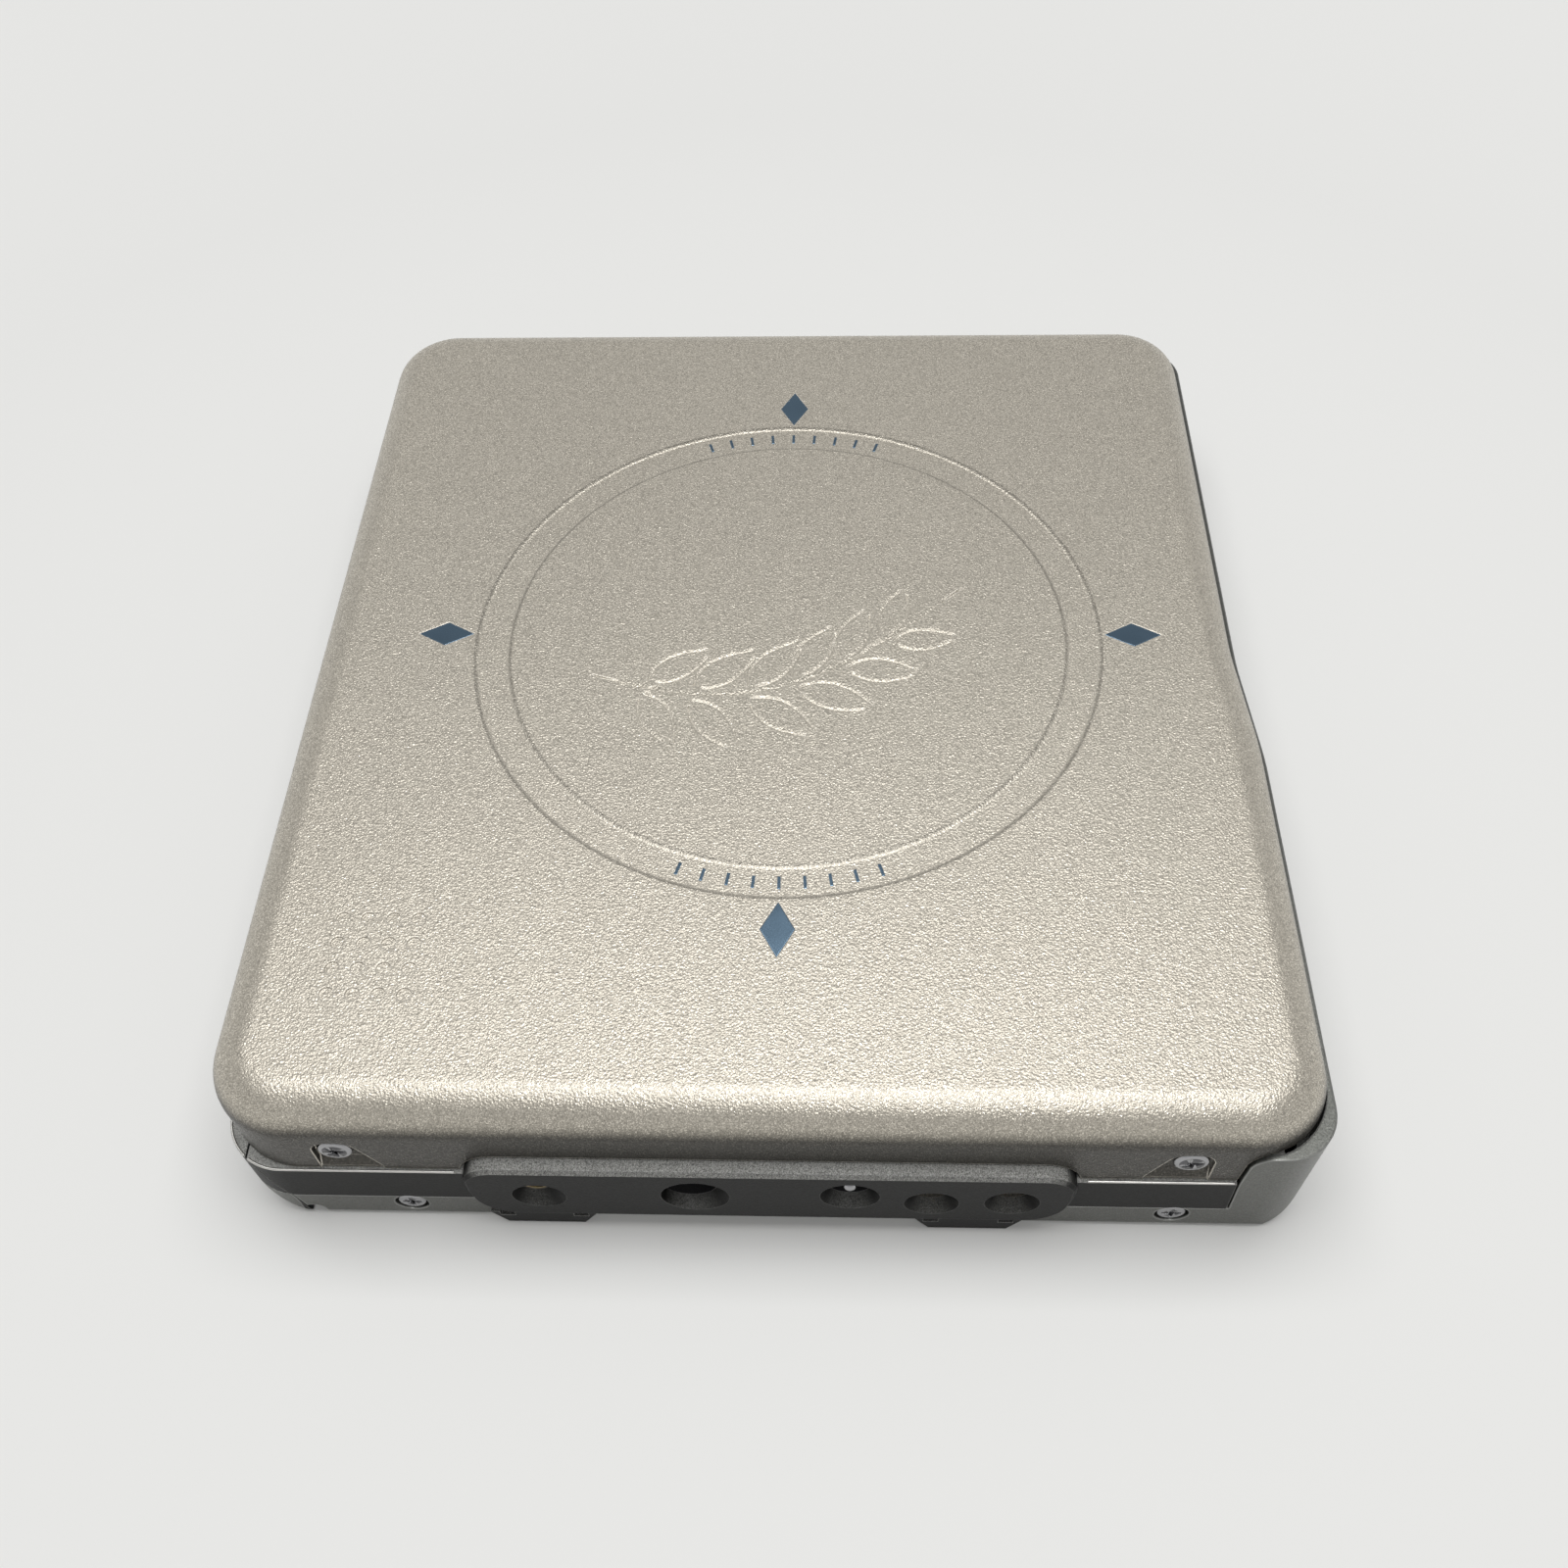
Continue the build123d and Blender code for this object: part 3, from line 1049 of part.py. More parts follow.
# ---- battery and door ---------------------------------------------------------------------
def battery():
    """The flat rechargeable cell."""
    cell = block((CELL_FRONT_X, CELL_REAR_X), about(0, CELL_END_Y), (CELL_LOW_Z, CELL_TOP_Z))
    return fillet(cell.edges().filter_by(Axis.Y), CELL_CORNER)


def battery_contacts():
    """The two bent strips that press on the cell's ends."""
    start = CELL_FRONT_X + STRIP_IN
    near = CELL_END_Y + STRIP_PLAY
    far = CELL_END_Y + STRIP_REACH
    height = (CELL_LOW_Z + STRIP_LOW, CELL_LOW_Z + STRIP_LOW + STRIP_HIGH)
    out = []
    for side in SIDES:
        strip = block((start, start + STRIP_LONG), side_range(side, near, near + STRIP_SHEET), height)
        strip += block((start, start + STRIP_SHEET), side_range(side, near, far), height)
        strip += block((start, start + STRIP_FOOT), side_range(side, far - STRIP_SHEET, far),
                       (COVER_SHEET + FRAME_PLAY, height[1]))
        out.append(strip)
    return Compound(children=out)


def door_blank():
    """The whole door, outer skin and moulding together."""
    door = (body_plan(0, 0, BAND_TOP) & hull(0) & door_zone(0))
    door -= body_plan(DOOR_WALL, -1, BAND_TOP) & hull(DOOR_WALL)
    door += rod_y(DOOR_HINGE_X, DOOR_HINGE_Z, DOOR_BARREL, -DOOR_END_Y, DOOR_END_Y)
    for side in SIDES:
        door -= rod_y(DOOR_HINGE_X, DOOR_HINGE_Z, DOOR_BARREL + DOOR_END_GAP,
                      *side_range(side, DOOR_END_Y, HALF_D - DOOR_WALL))
        door -= rod_y(DOOR_HINGE_X, DOOR_HINGE_Z, DOOR_PIN + HINGE_CLEARANCE,
                      *side_range(side, DOOR_END_Y - DOOR_PIN_LONG, DOOR_END_Y))
    return door


def skin_region():
    """The lower, outer layer of the door that is its silver skin."""
    rear = DOOR_HINGE_X - DOOR_BARREL - DOOR_END_GAP
    region = block((-HALF_W - 1, rear), about(0, HALF_D + 1), (-1, BAND_LOW))
    return region - (body_plan(COVER_SHEET, -1, BAND_LOW + 1) & hull(COVER_SHEET))


def battery_door():
    """The door's dark moulding with its hinge barrel."""
    return door_blank() - skin_region()


def door_skin():
    """The silver sheet on the door's slanted lower part."""
    return door_blank() & skin_region()


def door_pins():
    """Two short pins that the door turns on."""
    span = (DOOR_END_Y - DOOR_PIN_LONG + DOOR_PIN_PLAY, DOOR_END_Y + DOOR_LUG)
    return Compound(children=[rod_y(DOOR_HINGE_X, DOOR_HINGE_Z, DOOR_PIN, *side_range(side, *span))
                              for side in SIDES])


def door_lug(side):
    """The frame's round lug that holds a door pin."""
    start = DOOR_END_Y + DOOR_END_GAP
    layer = side_range(side, start, start + DOOR_LUG)
    radius = DOOR_BARREL - FRAME_PLAY
    lug = rod_y(DOOR_HINGE_X, DOOR_HINGE_Z, radius, *layer)
    lug += block((DOOR_HINGE_X, DOOR_HINGE_X + DOOR_LUG_LONG), layer,
                 (COVER_SHEET + FRAME_PLAY, DOOR_HINGE_Z + radius))
    bore = side_range(side, start - 1, start + DOOR_LUG + 1)
    return lug - rod_y(DOOR_HINGE_X, DOOR_HINGE_Z, DOOR_PIN, *bore)


# ---- drive --------------------------------------------------------------------------------
def spindle_motor():
    """The flat motor under the deck, with its bearing neck."""
    low = BOARD_TOP + MOTOR_FLOOR_ROOM
    flange_z = DECK_LOW - MOTOR_FLANGE_THICK
    can = rod_z(SPINDLE_X, SPINDLE_Y, MOTOR_RADIUS, low, flange_z)
    can = fillet(can.faces().sort_by(Axis.Z)[0].edges(), MOTOR_SOFT)
    can += rod_z(SPINDLE_X, SPINDLE_Y, MOTOR_RADIUS + MOTOR_FLANGE, flange_z, DECK_LOW)
    can += rod_z(SPINDLE_X, SPINDLE_Y, MOTOR_NECK, flange_z, DECK_TOP)
    return can - rod_z(SPINDLE_X, SPINDLE_Y, SPINDLE_SHAFT + RUN_CLEARANCE, low + 0.6, BODY_HEIGHT)


def turntable():
    """The hub that the disc sits on, with its shaft, turned as one."""
    foot = BOARD_TOP + MOTOR_FLOOR_ROOM + 0.7
    low = DECK_TOP + SPINDLE_LIFT
    rim = low + 1.5 * SPINDLE_THICK
    top = DISC_BOTTOM_Z + SPINDLE_REACH
    outline = Polyline(
        (0, foot),
        (SPINDLE_SHAFT, foot),
        (SPINDLE_SHAFT, low),
        (SPINDLE_FLANGE - SPINDLE_THICK, low),
        (SPINDLE_FLANGE, low + SPINDLE_THICK / 2),
        (SPINDLE_FLANGE, rim),
        (SPINDLE_FLANGE - SPINDLE_RIM, rim),
        (SPINDLE_FLANGE - SPINDLE_RIM - SPINDLE_THICK / 2, low + SPINDLE_THICK),
        (SPINDLE_BOSS + SPINDLE_THICK, low + SPINDLE_THICK),
        (SPINDLE_BOSS, rim),
        (SPINDLE_BOSS, top - SPINDLE_RIM / 2),
        (SPINDLE_BOSS - SPINDLE_RIM / 2, top),
        (0, top),
        close=True,
    )
    return Pos(SPINDLE_X, SPINDLE_Y, 0) * revolve(Plane.XZ * make_face(outline), Axis.Z)


def guide_rods():
    """The two rods that the pickup slides on."""
    return Compound(children=[rod_y(x, ROD_Z, ROD_RADIUS, ROD_NEAR_Y, ROD_FAR_Y) for x in ROD_X])


def pickup_sled():
    """The pickup's carriage: lens tower, rod bearings and the lead screw's nut."""
    y_range = about(LENS_REST_Y, SLED_HALF_Y)
    sled = block(about(SPINDLE_X, SLED_HALF_X), y_range, (SLED_LOW_Z, SLED_TOP_Z))
    sled = chamfer(sled.edges().filter_by(Axis.Z), SLED_CORNER)
    for side in SIDES:
        pocket = about(SPINDLE_X + side * SLED_POCKET_X, SLED_POCKET_WIDE / 2)
        sled -= block(pocket, about(LENS_REST_Y, SLED_HALF_Y - SLED_CORNER),
                      (SLED_TOP_Z - SLED_POCKET_DEEP, SLED_TOP_Z + 1))
    sled += rod_z(SPINDLE_X, LENS_REST_Y, LENS_RADIUS + LENS_WALL, SLED_LOW_Z, LENS_TOP_Z - TOWER_DROP)
    sled -= rod_z(SPINDLE_X, LENS_REST_Y, LENS_RADIUS, LENS_TOP_Z - LENS_SEAT, BODY_HEIGHT)
    nut_y = about(LENS_REST_Y, NUT_HALF)
    sled += block((SPINDLE_X + SLED_HALF_X - NUT_WALL, SCREW_X), nut_y, about(SCREW_Z, NUT_ARM))
    sled += rod_y(SCREW_X, SCREW_Z, SCREW_RADIUS + NUT_WALL, *nut_y)
    for x in ROD_X:
        sled -= rod_y(x, ROD_Z, ROD_RADIUS + RUN_CLEARANCE, 0, FAR)
    return sled - rod_y(SCREW_X, SCREW_Z, SCREW_RADIUS + RUN_CLEARANCE, 0, FAR)


def objective_lens():
    """The small domed lens in its tower."""
    shelf = LENS_TOP_Z - TOWER_DROP
    lens = rod_z(SPINDLE_X, LENS_REST_Y, LENS_RADIUS, LENS_TOP_Z - LENS_SEAT, shelf)
    dome = Pos(SPINDLE_X, LENS_REST_Y, LENS_TOP_Z - LENS_DOME) * Sphere(LENS_DOME)
    core = rod_z(SPINDLE_X, LENS_REST_Y, LENS_RADIUS - LENS_RIM, shelf - LENS_RIM, BODY_HEIGHT)
    return lens + (dome & core)


def lead_screw():
    """The screw that moves the pickup, with its gear."""
    bar = rod_y(SCREW_X, SCREW_Z, SCREW_RADIUS, SCREW_NEAR_Y, ROD_FAR_Y)
    return bar + Pos(SCREW_X, SCREW_NEAR_Y, SCREW_Z) * spur(GEAR_TEETH, GEAR_THICK)


def drive_pinion():
    """The motor's pinion and shaft."""
    turned = Rot(0, 180 / PINION_TEETH, 0) * spur(PINION_TEETH, GEAR_THICK)
    shaft = rod_y(PINION_X, SCREW_Z, PINION_SHAFT, SCREW_NEAR_Y - PINION_REACH, SCREW_NEAR_Y + GEAR_THICK)
    return Pos(PINION_X, SCREW_NEAR_Y, SCREW_Z) * turned + shaft


def sled_motor():
    """The small motor that turns the lead screw."""
    low = MOTOR_HIGH_Y - SLED_MOTOR_LONG
    can = rod_y(PINION_X, SCREW_Z, SLED_MOTOR_RADIUS, low, MOTOR_HIGH_Y)
    can += block(about(PINION_X, MOTOR_FOOT), (low + MOTOR_FOOT_SHORT, MOTOR_HIGH_Y - MOTOR_FOOT_SHORT),
                 (SCREW_Z, DECK_LOW))
    return can - rod_y(PINION_X, SCREW_Z, PINION_SHAFT + RUN_CLEARANCE, MOTOR_HIGH_Y - PINION_REACH, FAR)


# ---- boards -------------------------------------------------------------------------------
def main_board():
    """The circuit board on the cover's floor, beside the battery bay."""
    board = block((BAY_X + BOARD_GAP, BOARD_REAR_X), about(0, INNER_Y - BOARD_GAP), (BOARD_LOW_Z, BOARD_TOP))
    board = chamfer(board.edges().filter_by(Axis.Z).sort_by(Axis.X)[-2:], BOARD_CORNER)
    return board - gear_room()


def board_chips():
    """The board's larger chips."""
    x = BOARD_REAR_X - CHIP_REAR_IN
    height = (BOARD_TOP, BOARD_TOP + CHIP_TALL)
    return Compound(children=[block(about(x, wide / 2), about(INNER_Y - back, long / 2), height)
                              for back, wide, long in CHIPS])


def key_board():
    """The two upright boards behind the keys, with a ridge under each rocking key's middle."""
    height = (BOARD_TOP + KEY_BOARD_FLOOR, KEY_Z + KEY_HALF_Z)
    front = KEY_BOARD_X + KEY_BOARD_SHEET
    side = block((KEY_BOARD_X, front),
                 (PLAY_Y - PLAY_HALF - KEY_BOARD_OVER, ROCKER_Y + ROCKER_HALF + KEY_BOARD_OVER), height)
    ridge = (front - 0.1, KEY_BACK_X - KEY_RIB)
    side += block(ridge, about(ROCKER_Y, KEY_RIB), about(KEY_Z, KEY_HALF_Z / 2))
    side += block((front - 0.1, KEY_BACK_X - KEY_GAP * 4), about(PLAY_Y, KEY_RIB),
                  about(KEY_Z, KEY_HALF_Z / 2))
    back = VOLUME_BACK_Y - KEY_RIB
    far = block(about(VOLUME_X, VOLUME_HALF - KEY_BOARD_OVER), (back - KEY_BOARD_SHEET, back),
                about(SLIDER_Z, VOLUME_HALF_Z + KEY_FLANGE))
    return Compound(children=[side, far])


# ---- keys and sliders ---------------------------------------------------------------------
def wall_key(y, half):
    """A key cap in the hinge-side wall, with a flange behind the wall."""
    front = WALL_X_FAR + KEY_PROUD
    face = Plane.YZ * RectangleRounded(2 * half, 2 * KEY_HALF_Z, KEY_HALF_Z * 0.6)
    cap = fillet(extrude(face, front - KEY_BACK_X).faces().sort_by(Axis.X)[-1].edges(), KEY_SOFT)
    size = (2 * (half + KEY_FLANGE), 2 * (KEY_HALF_Z + KEY_FLANGE))
    wide = Plane.YZ * RectangleRounded(*size, KEY_HALF_Z * 0.6)
    return Pos(KEY_BACK_X, y, KEY_Z) * (cap + extrude(wide, KEY_FLANGE_THICK))


def track_rocker():
    """The long key that rocks on its rib to step through the tracks."""
    return wall_key(ROCKER_Y, ROCKER_HALF) + rod_z(KEY_BACK_X, ROCKER_Y, KEY_RIB, *about(KEY_Z, KEY_HALF_Z))


def play_key():
    """The short key that starts and stops play."""
    return wall_key(PLAY_Y, PLAY_HALF)


def volume_rocker():
    """The volume key in the frame's far side, which rocks on its rib."""
    front = HALF_D + VOLUME_PROUD
    face = Plane.XZ * RectangleRounded(2 * VOLUME_HALF, 2 * VOLUME_HALF_Z, VOLUME_HALF_Z * 0.6)
    cap = Pos(0, front, 0) * extrude(face, front - VOLUME_BACK_Y)
    cap = fillet(cap.faces().sort_by(Axis.Y)[-1].edges(), KEY_SOFT)
    size = (2 * (VOLUME_HALF + KEY_FLANGE), 2 * (VOLUME_HALF_Z + KEY_FLANGE))
    flange = extrude(Plane.XZ * RectangleRounded(*size, VOLUME_HALF_Z * 0.6), -KEY_FLANGE_THICK)
    key = cap + Pos(0, VOLUME_BACK_Y, 0) * flange
    return Pos(VOLUME_X, 0, SLIDER_Z) * key + rod_z(VOLUME_X, VOLUME_BACK_Y, KEY_RIB,
                                                    *about(SLIDER_Z, VOLUME_HALF_Z))


def slider(x, half, ribs):
    """A ribbed thumb piece in its slot, with a neck through the frame's wall."""
    floor = HALF_D - SLIDER_SINK
    top = HALF_D + SLIDER_PROUD
    thumb = block(about(x, half), (floor, top), about(SLIDER_Z, SLOT_HALF_Z))
    thumb = fillet(thumb.edges().filter_by(Axis.Y), SLIDER_SOFT)
    for i in range(ribs):
        groove = x + (i - (ribs - 1) / 2) * RIB_STEP
        thumb -= block(about(groove, RIB_WIDE / 2), (top - RIB_DEEP, top + 1),
                       about(SLIDER_Z, SLOT_HALF_Z + 1))
    return thumb + block(about(x, SLIDER_NECK), (EAR_IN_Y, floor + 0.1), about(SLIDER_Z, SLIDER_NECK_Z))


def open_slider():
    """The open slider with its latch bar."""
    latch = block((OPEN_X - LATCH_FRONT, OPEN_X + LATCH_REAR), (EAR_IN_Y, EAR_IN_Y + LATCH_SHEET),
                  (SLIDER_Z - SLIDER_NECK_Z, DECK_LOW - CELL_ROOF_ROOM))
    return slider(OPEN_X, OPEN_HALF, OPEN_RIBS) + latch


def hold_knob():
    """The hold switch."""
    return slider(HOLD_X, HOLD_HALF, HOLD_RIBS)


PARTS = {
    "bottom_cover": bottom_cover,
    "mid_frame": mid_frame,
    "mech_deck": mech_deck,
    "hinge_pins": hinge_pins,
    "deck_dampers": deck_dampers,
    "deck_screws": deck_screws,
    "body_screws": body_screws,
    "lid_cover": lid_cover,
    "lid_inlays": lid_inlays,
    "lid_screws": lid_screws,
    "lid_frame": lid_frame,
    "disc_holder": disc_holder,
    "lift_springs": lift_springs,
    "terminal_bar": terminal_bar,
    "case_screw_bush": case_screw_bush,
    "phone_jack": phone_jack,
    "supply_jack": supply_jack,
    "supply_pin": supply_pin,
    "case_contacts": case_contacts,
    "battery": battery,
    "battery_contacts": battery_contacts,
    "battery_door": battery_door,
    "door_skin": door_skin,
    "door_pins": door_pins,
    "spindle_motor": spindle_motor,
    "turntable": turntable,
    "guide_rods": guide_rods,
    "pickup_sled": pickup_sled,
    "objective_lens": objective_lens,
    "lead_screw": lead_screw,
    "drive_pinion": drive_pinion,
    "sled_motor": sled_motor,
    "main_board": main_board,
    "board_chips": board_chips,
    "key_board": key_board,
    "track_rocker": track_rocker,
    "play_key": play_key,
    "volume_rocker": volume_rocker,
    "open_slider": open_slider,
    "hold_knob": hold_knob,
}

if __name__ == "__main__":
    os.makedirs("parts", exist_ok=True)
    for name, make in PARTS.items():
        shape = make()
        shape.label = name
        export_step(shape, f"parts/{name}.step")
        print(name, round(shape.volume, 1))
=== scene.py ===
"""Finish of a portable minidisc player: the looks of its case, lid, keys and drive."""
import json
import math
import random

import bmesh
import bpy
from mathutils import Matrix, Vector
from mathutils.bvhtree import BVHTree


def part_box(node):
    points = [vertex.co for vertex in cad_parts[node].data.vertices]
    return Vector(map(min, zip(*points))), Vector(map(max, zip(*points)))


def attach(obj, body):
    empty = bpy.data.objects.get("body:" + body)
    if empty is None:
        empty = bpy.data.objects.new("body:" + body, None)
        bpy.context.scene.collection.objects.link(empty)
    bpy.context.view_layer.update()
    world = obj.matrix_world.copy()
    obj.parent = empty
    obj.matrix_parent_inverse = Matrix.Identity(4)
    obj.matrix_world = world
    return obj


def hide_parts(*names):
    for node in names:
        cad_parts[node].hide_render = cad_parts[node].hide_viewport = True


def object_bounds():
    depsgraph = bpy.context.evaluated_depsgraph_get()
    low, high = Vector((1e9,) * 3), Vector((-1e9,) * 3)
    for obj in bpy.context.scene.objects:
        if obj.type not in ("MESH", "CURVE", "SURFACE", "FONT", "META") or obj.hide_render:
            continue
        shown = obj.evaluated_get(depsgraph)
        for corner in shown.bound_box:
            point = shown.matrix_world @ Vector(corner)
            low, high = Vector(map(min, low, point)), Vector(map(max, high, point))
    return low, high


bl_info = {
    "name": "Minidisc player finish",
    "version": (1, 0, 0),
    "blender": (4, 5, 0),
    "location": "View3D > Sidebar > Player",
    "description": "Dresses a portable minidisc player and sets up its stage",
    "category": "Object",
}

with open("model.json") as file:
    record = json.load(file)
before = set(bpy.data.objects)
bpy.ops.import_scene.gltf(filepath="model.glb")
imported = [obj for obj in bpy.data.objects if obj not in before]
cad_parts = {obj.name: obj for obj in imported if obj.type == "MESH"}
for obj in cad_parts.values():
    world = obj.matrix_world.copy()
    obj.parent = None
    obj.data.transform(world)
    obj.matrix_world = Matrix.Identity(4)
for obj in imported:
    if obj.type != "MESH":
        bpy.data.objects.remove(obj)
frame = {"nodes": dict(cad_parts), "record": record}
CASE_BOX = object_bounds()
MM = 0.001
TOP = CASE_BOX[1].z
LID_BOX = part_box("lid_cover")
BAR_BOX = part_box("terminal_bar")
COVER_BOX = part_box("bottom_cover")
FRAME_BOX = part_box("mid_frame")
RING_CENTRE = (0.53 * MM, 0.93 * MM)
RING_OUTER = 23.68 * MM
RING_INNER = 21.23 * MM


def tint(red, green, blue):
    """A colour written as on a screen, from 0 to 255, as the linear values that Blender takes."""
    out = []
    for value in (red, green, blue):
        part = value / 255
        out.append(part / 12.92 if part <= 0.04045 else ((part + 0.055) / 1.055) ** 2.4)
    return tuple(out)


# ---- sizes and colours --------------------------------------------------------------------
class PlayerSizes(bpy.types.PropertyGroup):
    groove_width: bpy.props.FloatProperty(
        name="Groove width", description="Width of the lines sunk in the lid",
        default=0.4 * MM, subtype="DISTANCE", unit="LENGTH")
    groove_depth: bpy.props.FloatProperty(
        name="Groove depth", description="Depth of the lines sunk in the lid",
        default=0.16 * MM, subtype="DISTANCE", unit="LENGTH")
    leaf_length: bpy.props.FloatProperty(
        name="Leaf length", description="Length of the largest leaf of the sprig",
        default=6.2 * MM, subtype="DISTANCE", unit="LENGTH")
    tick_count: bpy.props.IntProperty(
        name="Ticks", description="Number of short marks in each arc of the sunk ring",
        default=9, min=1, max=40)
    tick_length: bpy.props.FloatProperty(
        name="Tick length", description="Radial length of a mark in the ring",
        default=1.0 * MM, subtype="DISTANCE", unit="LENGTH")
    tick_width: bpy.props.FloatProperty(
        name="Tick width", description="Width of a mark in the ring",
        default=0.22 * MM, subtype="DISTANCE", unit="LENGTH")
    case_screw_radius: bpy.props.FloatProperty(
        name="Case screw", description="Radius of the heads of the case and lid screws",
        default=1.12 * MM, subtype="DISTANCE", unit="LENGTH")
    # the bright beads are painted highlight along the band and door edges
    highlight_bead_width: bpy.props.FloatProperty(
        name="Highlight bead width", description="Width of the bright lines round the battery door",
        default=0.3 * MM, subtype="DISTANCE", unit="LENGTH")
    grain_pitch: bpy.props.FloatProperty(
        name="Grain pitch", description="Distance between the grains of the painted metal",
        default=0.135 * MM, subtype="DISTANCE", unit="LENGTH")
    part_seed: bpy.props.IntProperty(
        name="Part seed", description="Seed for where the board's small parts lie", default=4)


class PlayerColours(bpy.types.PropertyGroup):
    lid: bpy.props.FloatVectorProperty(
        name="Lid", description="Warm silver paint of the lid", subtype="COLOR",
        default=tint(176, 170, 158), min=0, max=1)
    cover: bpy.props.FloatVectorProperty(
        name="Cover", description="Bare metal of the bottom cover", subtype="COLOR",
        default=tint(92, 93, 89), min=0, max=1)
    band: bpy.props.FloatVectorProperty(
        name="Band", description="Moulded band between lid and cover", subtype="COLOR",
        default=tint(20, 20, 19), min=0, max=1)
    bar: bpy.props.FloatVectorProperty(
        name="Bar", description="Moulded terminal bar", subtype="COLOR",
        default=tint(18, 18, 17), min=0, max=1)
    inlay: bpy.props.FloatVectorProperty(
        name="Inlay", description="Mirror inlays of the lid", subtype="COLOR",
        default=tint(112, 136, 156), min=0, max=1)
    key: bpy.props.FloatVectorProperty(
        name="Keys", description="Plated keys and sliders", subtype="COLOR",
        default=tint(196, 197, 200), min=0, max=1)


class PlayerStage(bpy.types.PropertyGroup):
    floor: bpy.props.FloatVectorProperty(
        name="Floor", description="Colour of the floor and backdrop", subtype="COLOR",
        default=tint(230, 230, 228), min=0, max=1)
    overhead: bpy.props.FloatProperty(
        name="Overhead lamp", description="Power of the large lamp over the object in watts",
        default=2.1, min=0)
    front: bpy.props.FloatProperty(
        name="Front lamp", description="Power of the small lamp above the near side in watts",
        default=0.85, min=0)
    fill: bpy.props.FloatProperty(
        name="Sky", description="Strength of the light from all round", default=0.2, min=0)


# ---- node helpers -------------------------------------------------------------------------
def put(tree, kind, settings=None, sockets=None):
    """Adds a node, sets its settings, and sets or links its inputs."""
    node = tree.nodes.new(kind)
    for key, value in (settings or {}).items():
        setattr(node, key, value)
    for key, value in (sockets or {}).items():
        if isinstance(value, bpy.types.NodeSocket):
            tree.links.new(value, node.inputs[key])
        else:
            node.inputs[key].default_value = value
    return node


def sums(tree, operation, first, second=0.0, clamp=False):
    """A sum, product or other piece of arithmetic."""
    node = put(tree, "ShaderNodeMath", {"operation": operation, "use_clamp": clamp},
               {0: first, 1: second})
    return node.outputs[0]


def blend_colour(tree, factor, first, second, mode="MIX"):
    """A mix of two colours."""
    node = put(tree, "ShaderNodeMix", {"data_type": "RGBA", "blend_type": mode},
               {"Factor": factor, "A": first, "B": second})
    return node.outputs["Result"]


def open_group(name, inputs, outputs):
    """An empty shader group with its named inputs and outputs."""
    tree = bpy.data.node_groups.new(name, "ShaderNodeTree")
    for label, value in inputs:
        socket = tree.interface.new_socket(name=label, in_out="INPUT", socket_type="NodeSocketFloat")
        socket.default_value = value
    for label, kind in outputs:
        tree.interface.new_socket(name=label, in_out="OUTPUT", socket_type=kind)
    return tree, put(tree, "NodeGroupInput").outputs, put(tree, "NodeGroupOutput")


def soft_edge_group():
    """Rounds every edge in the light, and gives an edge mask that is partly wear and partly painted highlight."""
    tree, given, out = open_group("Soft edges", [("Radius", 0.00012), ("Wear", 1.0)],
                                  [("Normal", "NodeSocketVector"), ("Mask", "NodeSocketFloat")])
    bevel = put(tree, "ShaderNodeBevel", {"samples": 6}, {"Radius": given["Radius"]})
    facing = put(tree, "ShaderNodeNewGeometry")
    dot = put(tree, "ShaderNodeVectorMath", {"operation": "DOT_PRODUCT"},
              {0: bevel.outputs[0], 1: facing.outputs["Normal"]})
    turned = sums(tree, "SUBTRACT", 1.0, dot.outputs["Value"], clamp=True)
    patchy_noise = put(tree, "ShaderNodeTexNoise", None,
                  {"Vector": put(tree, "ShaderNodeTexCoord").outputs["Object"], "Scale": 700.0, "Detail": 3.0})
    uneven = sums(tree, "ADD", patchy_noise.outputs["Fac"], 0.35)
    # the edge mask: partly edge wear, partly painted highlight on the edges
    worn_and_highlit = sums(tree, "MULTIPLY", sums(tree, "MULTIPLY", turned, given["Wear"]), uneven, clamp=True)
    tree.links.new(bevel.outputs[0], out.inputs["Normal"])
    tree.links.new(worn_and_highlit, out.inputs["Mask"])
    return tree


def grain_group():
    """Pebbled grain with bright flakes, as in metallic paint over a blasted surface."""
    tree, given, out = open_group("Metal grain", [("Pitch", 0.0003), ("Flakes", 0.5)],
                                  [("Height", "NodeSocketFloat"), ("Flake", "NodeSocketFloat"),
                                   ("Speckle", "NodeSocketFloat")])
    place = put(tree, "ShaderNodeTexCoord").outputs["Object"]
    scale = sums(tree, "DIVIDE", 1.0, given["Pitch"])
    pebbles = put(tree, "ShaderNodeTexVoronoi", {"feature": "SMOOTH_F1"},
                  {"Vector": place, "Scale": scale, "Smoothness": 0.8})
    ripple = put(tree, "ShaderNodeTexNoise", None,
                 {"Vector": place, "Scale": sums(tree, "MULTIPLY", scale, 0.6), "Detail": 2.0})
    height = sums(tree, "ADD", pebbles.outputs["Distance"],
                  sums(tree, "MULTIPLY", ripple.outputs["Fac"], 0.8))
    flakes = put(tree, "ShaderNodeTexVoronoi", {"feature": "F1"},
                 {"Vector": place, "Scale": sums(tree, "MULTIPLY", scale, 2.2)})
    bright = put(tree, "ShaderNodeSeparateColor", None, {"Color": flakes.outputs["Color"]})
    lit = put(tree, "ShaderNodeMapRange", None,
              {"Value": bright.outputs[0], "From Min": 0.7, "From Max": 1.0, "To Min": 0.0, "To Max": 1.0})
    tree.links.new(height, out.inputs["Height"])
    tree.links.new(sums(tree, "MULTIPLY", lit.outputs[0], given["Flakes"], clamp=True), out.inputs["Flake"])
    spread = sums(tree, "SUBTRACT", 1.0, pebbles.outputs["Distance"], clamp=True)
    dotted = sums(tree, "MULTIPLY", sums(tree, "ADD", bright.outputs[1], spread), 0.5)
    tree.links.new(dotted, out.inputs["Speckle"])
    return tree


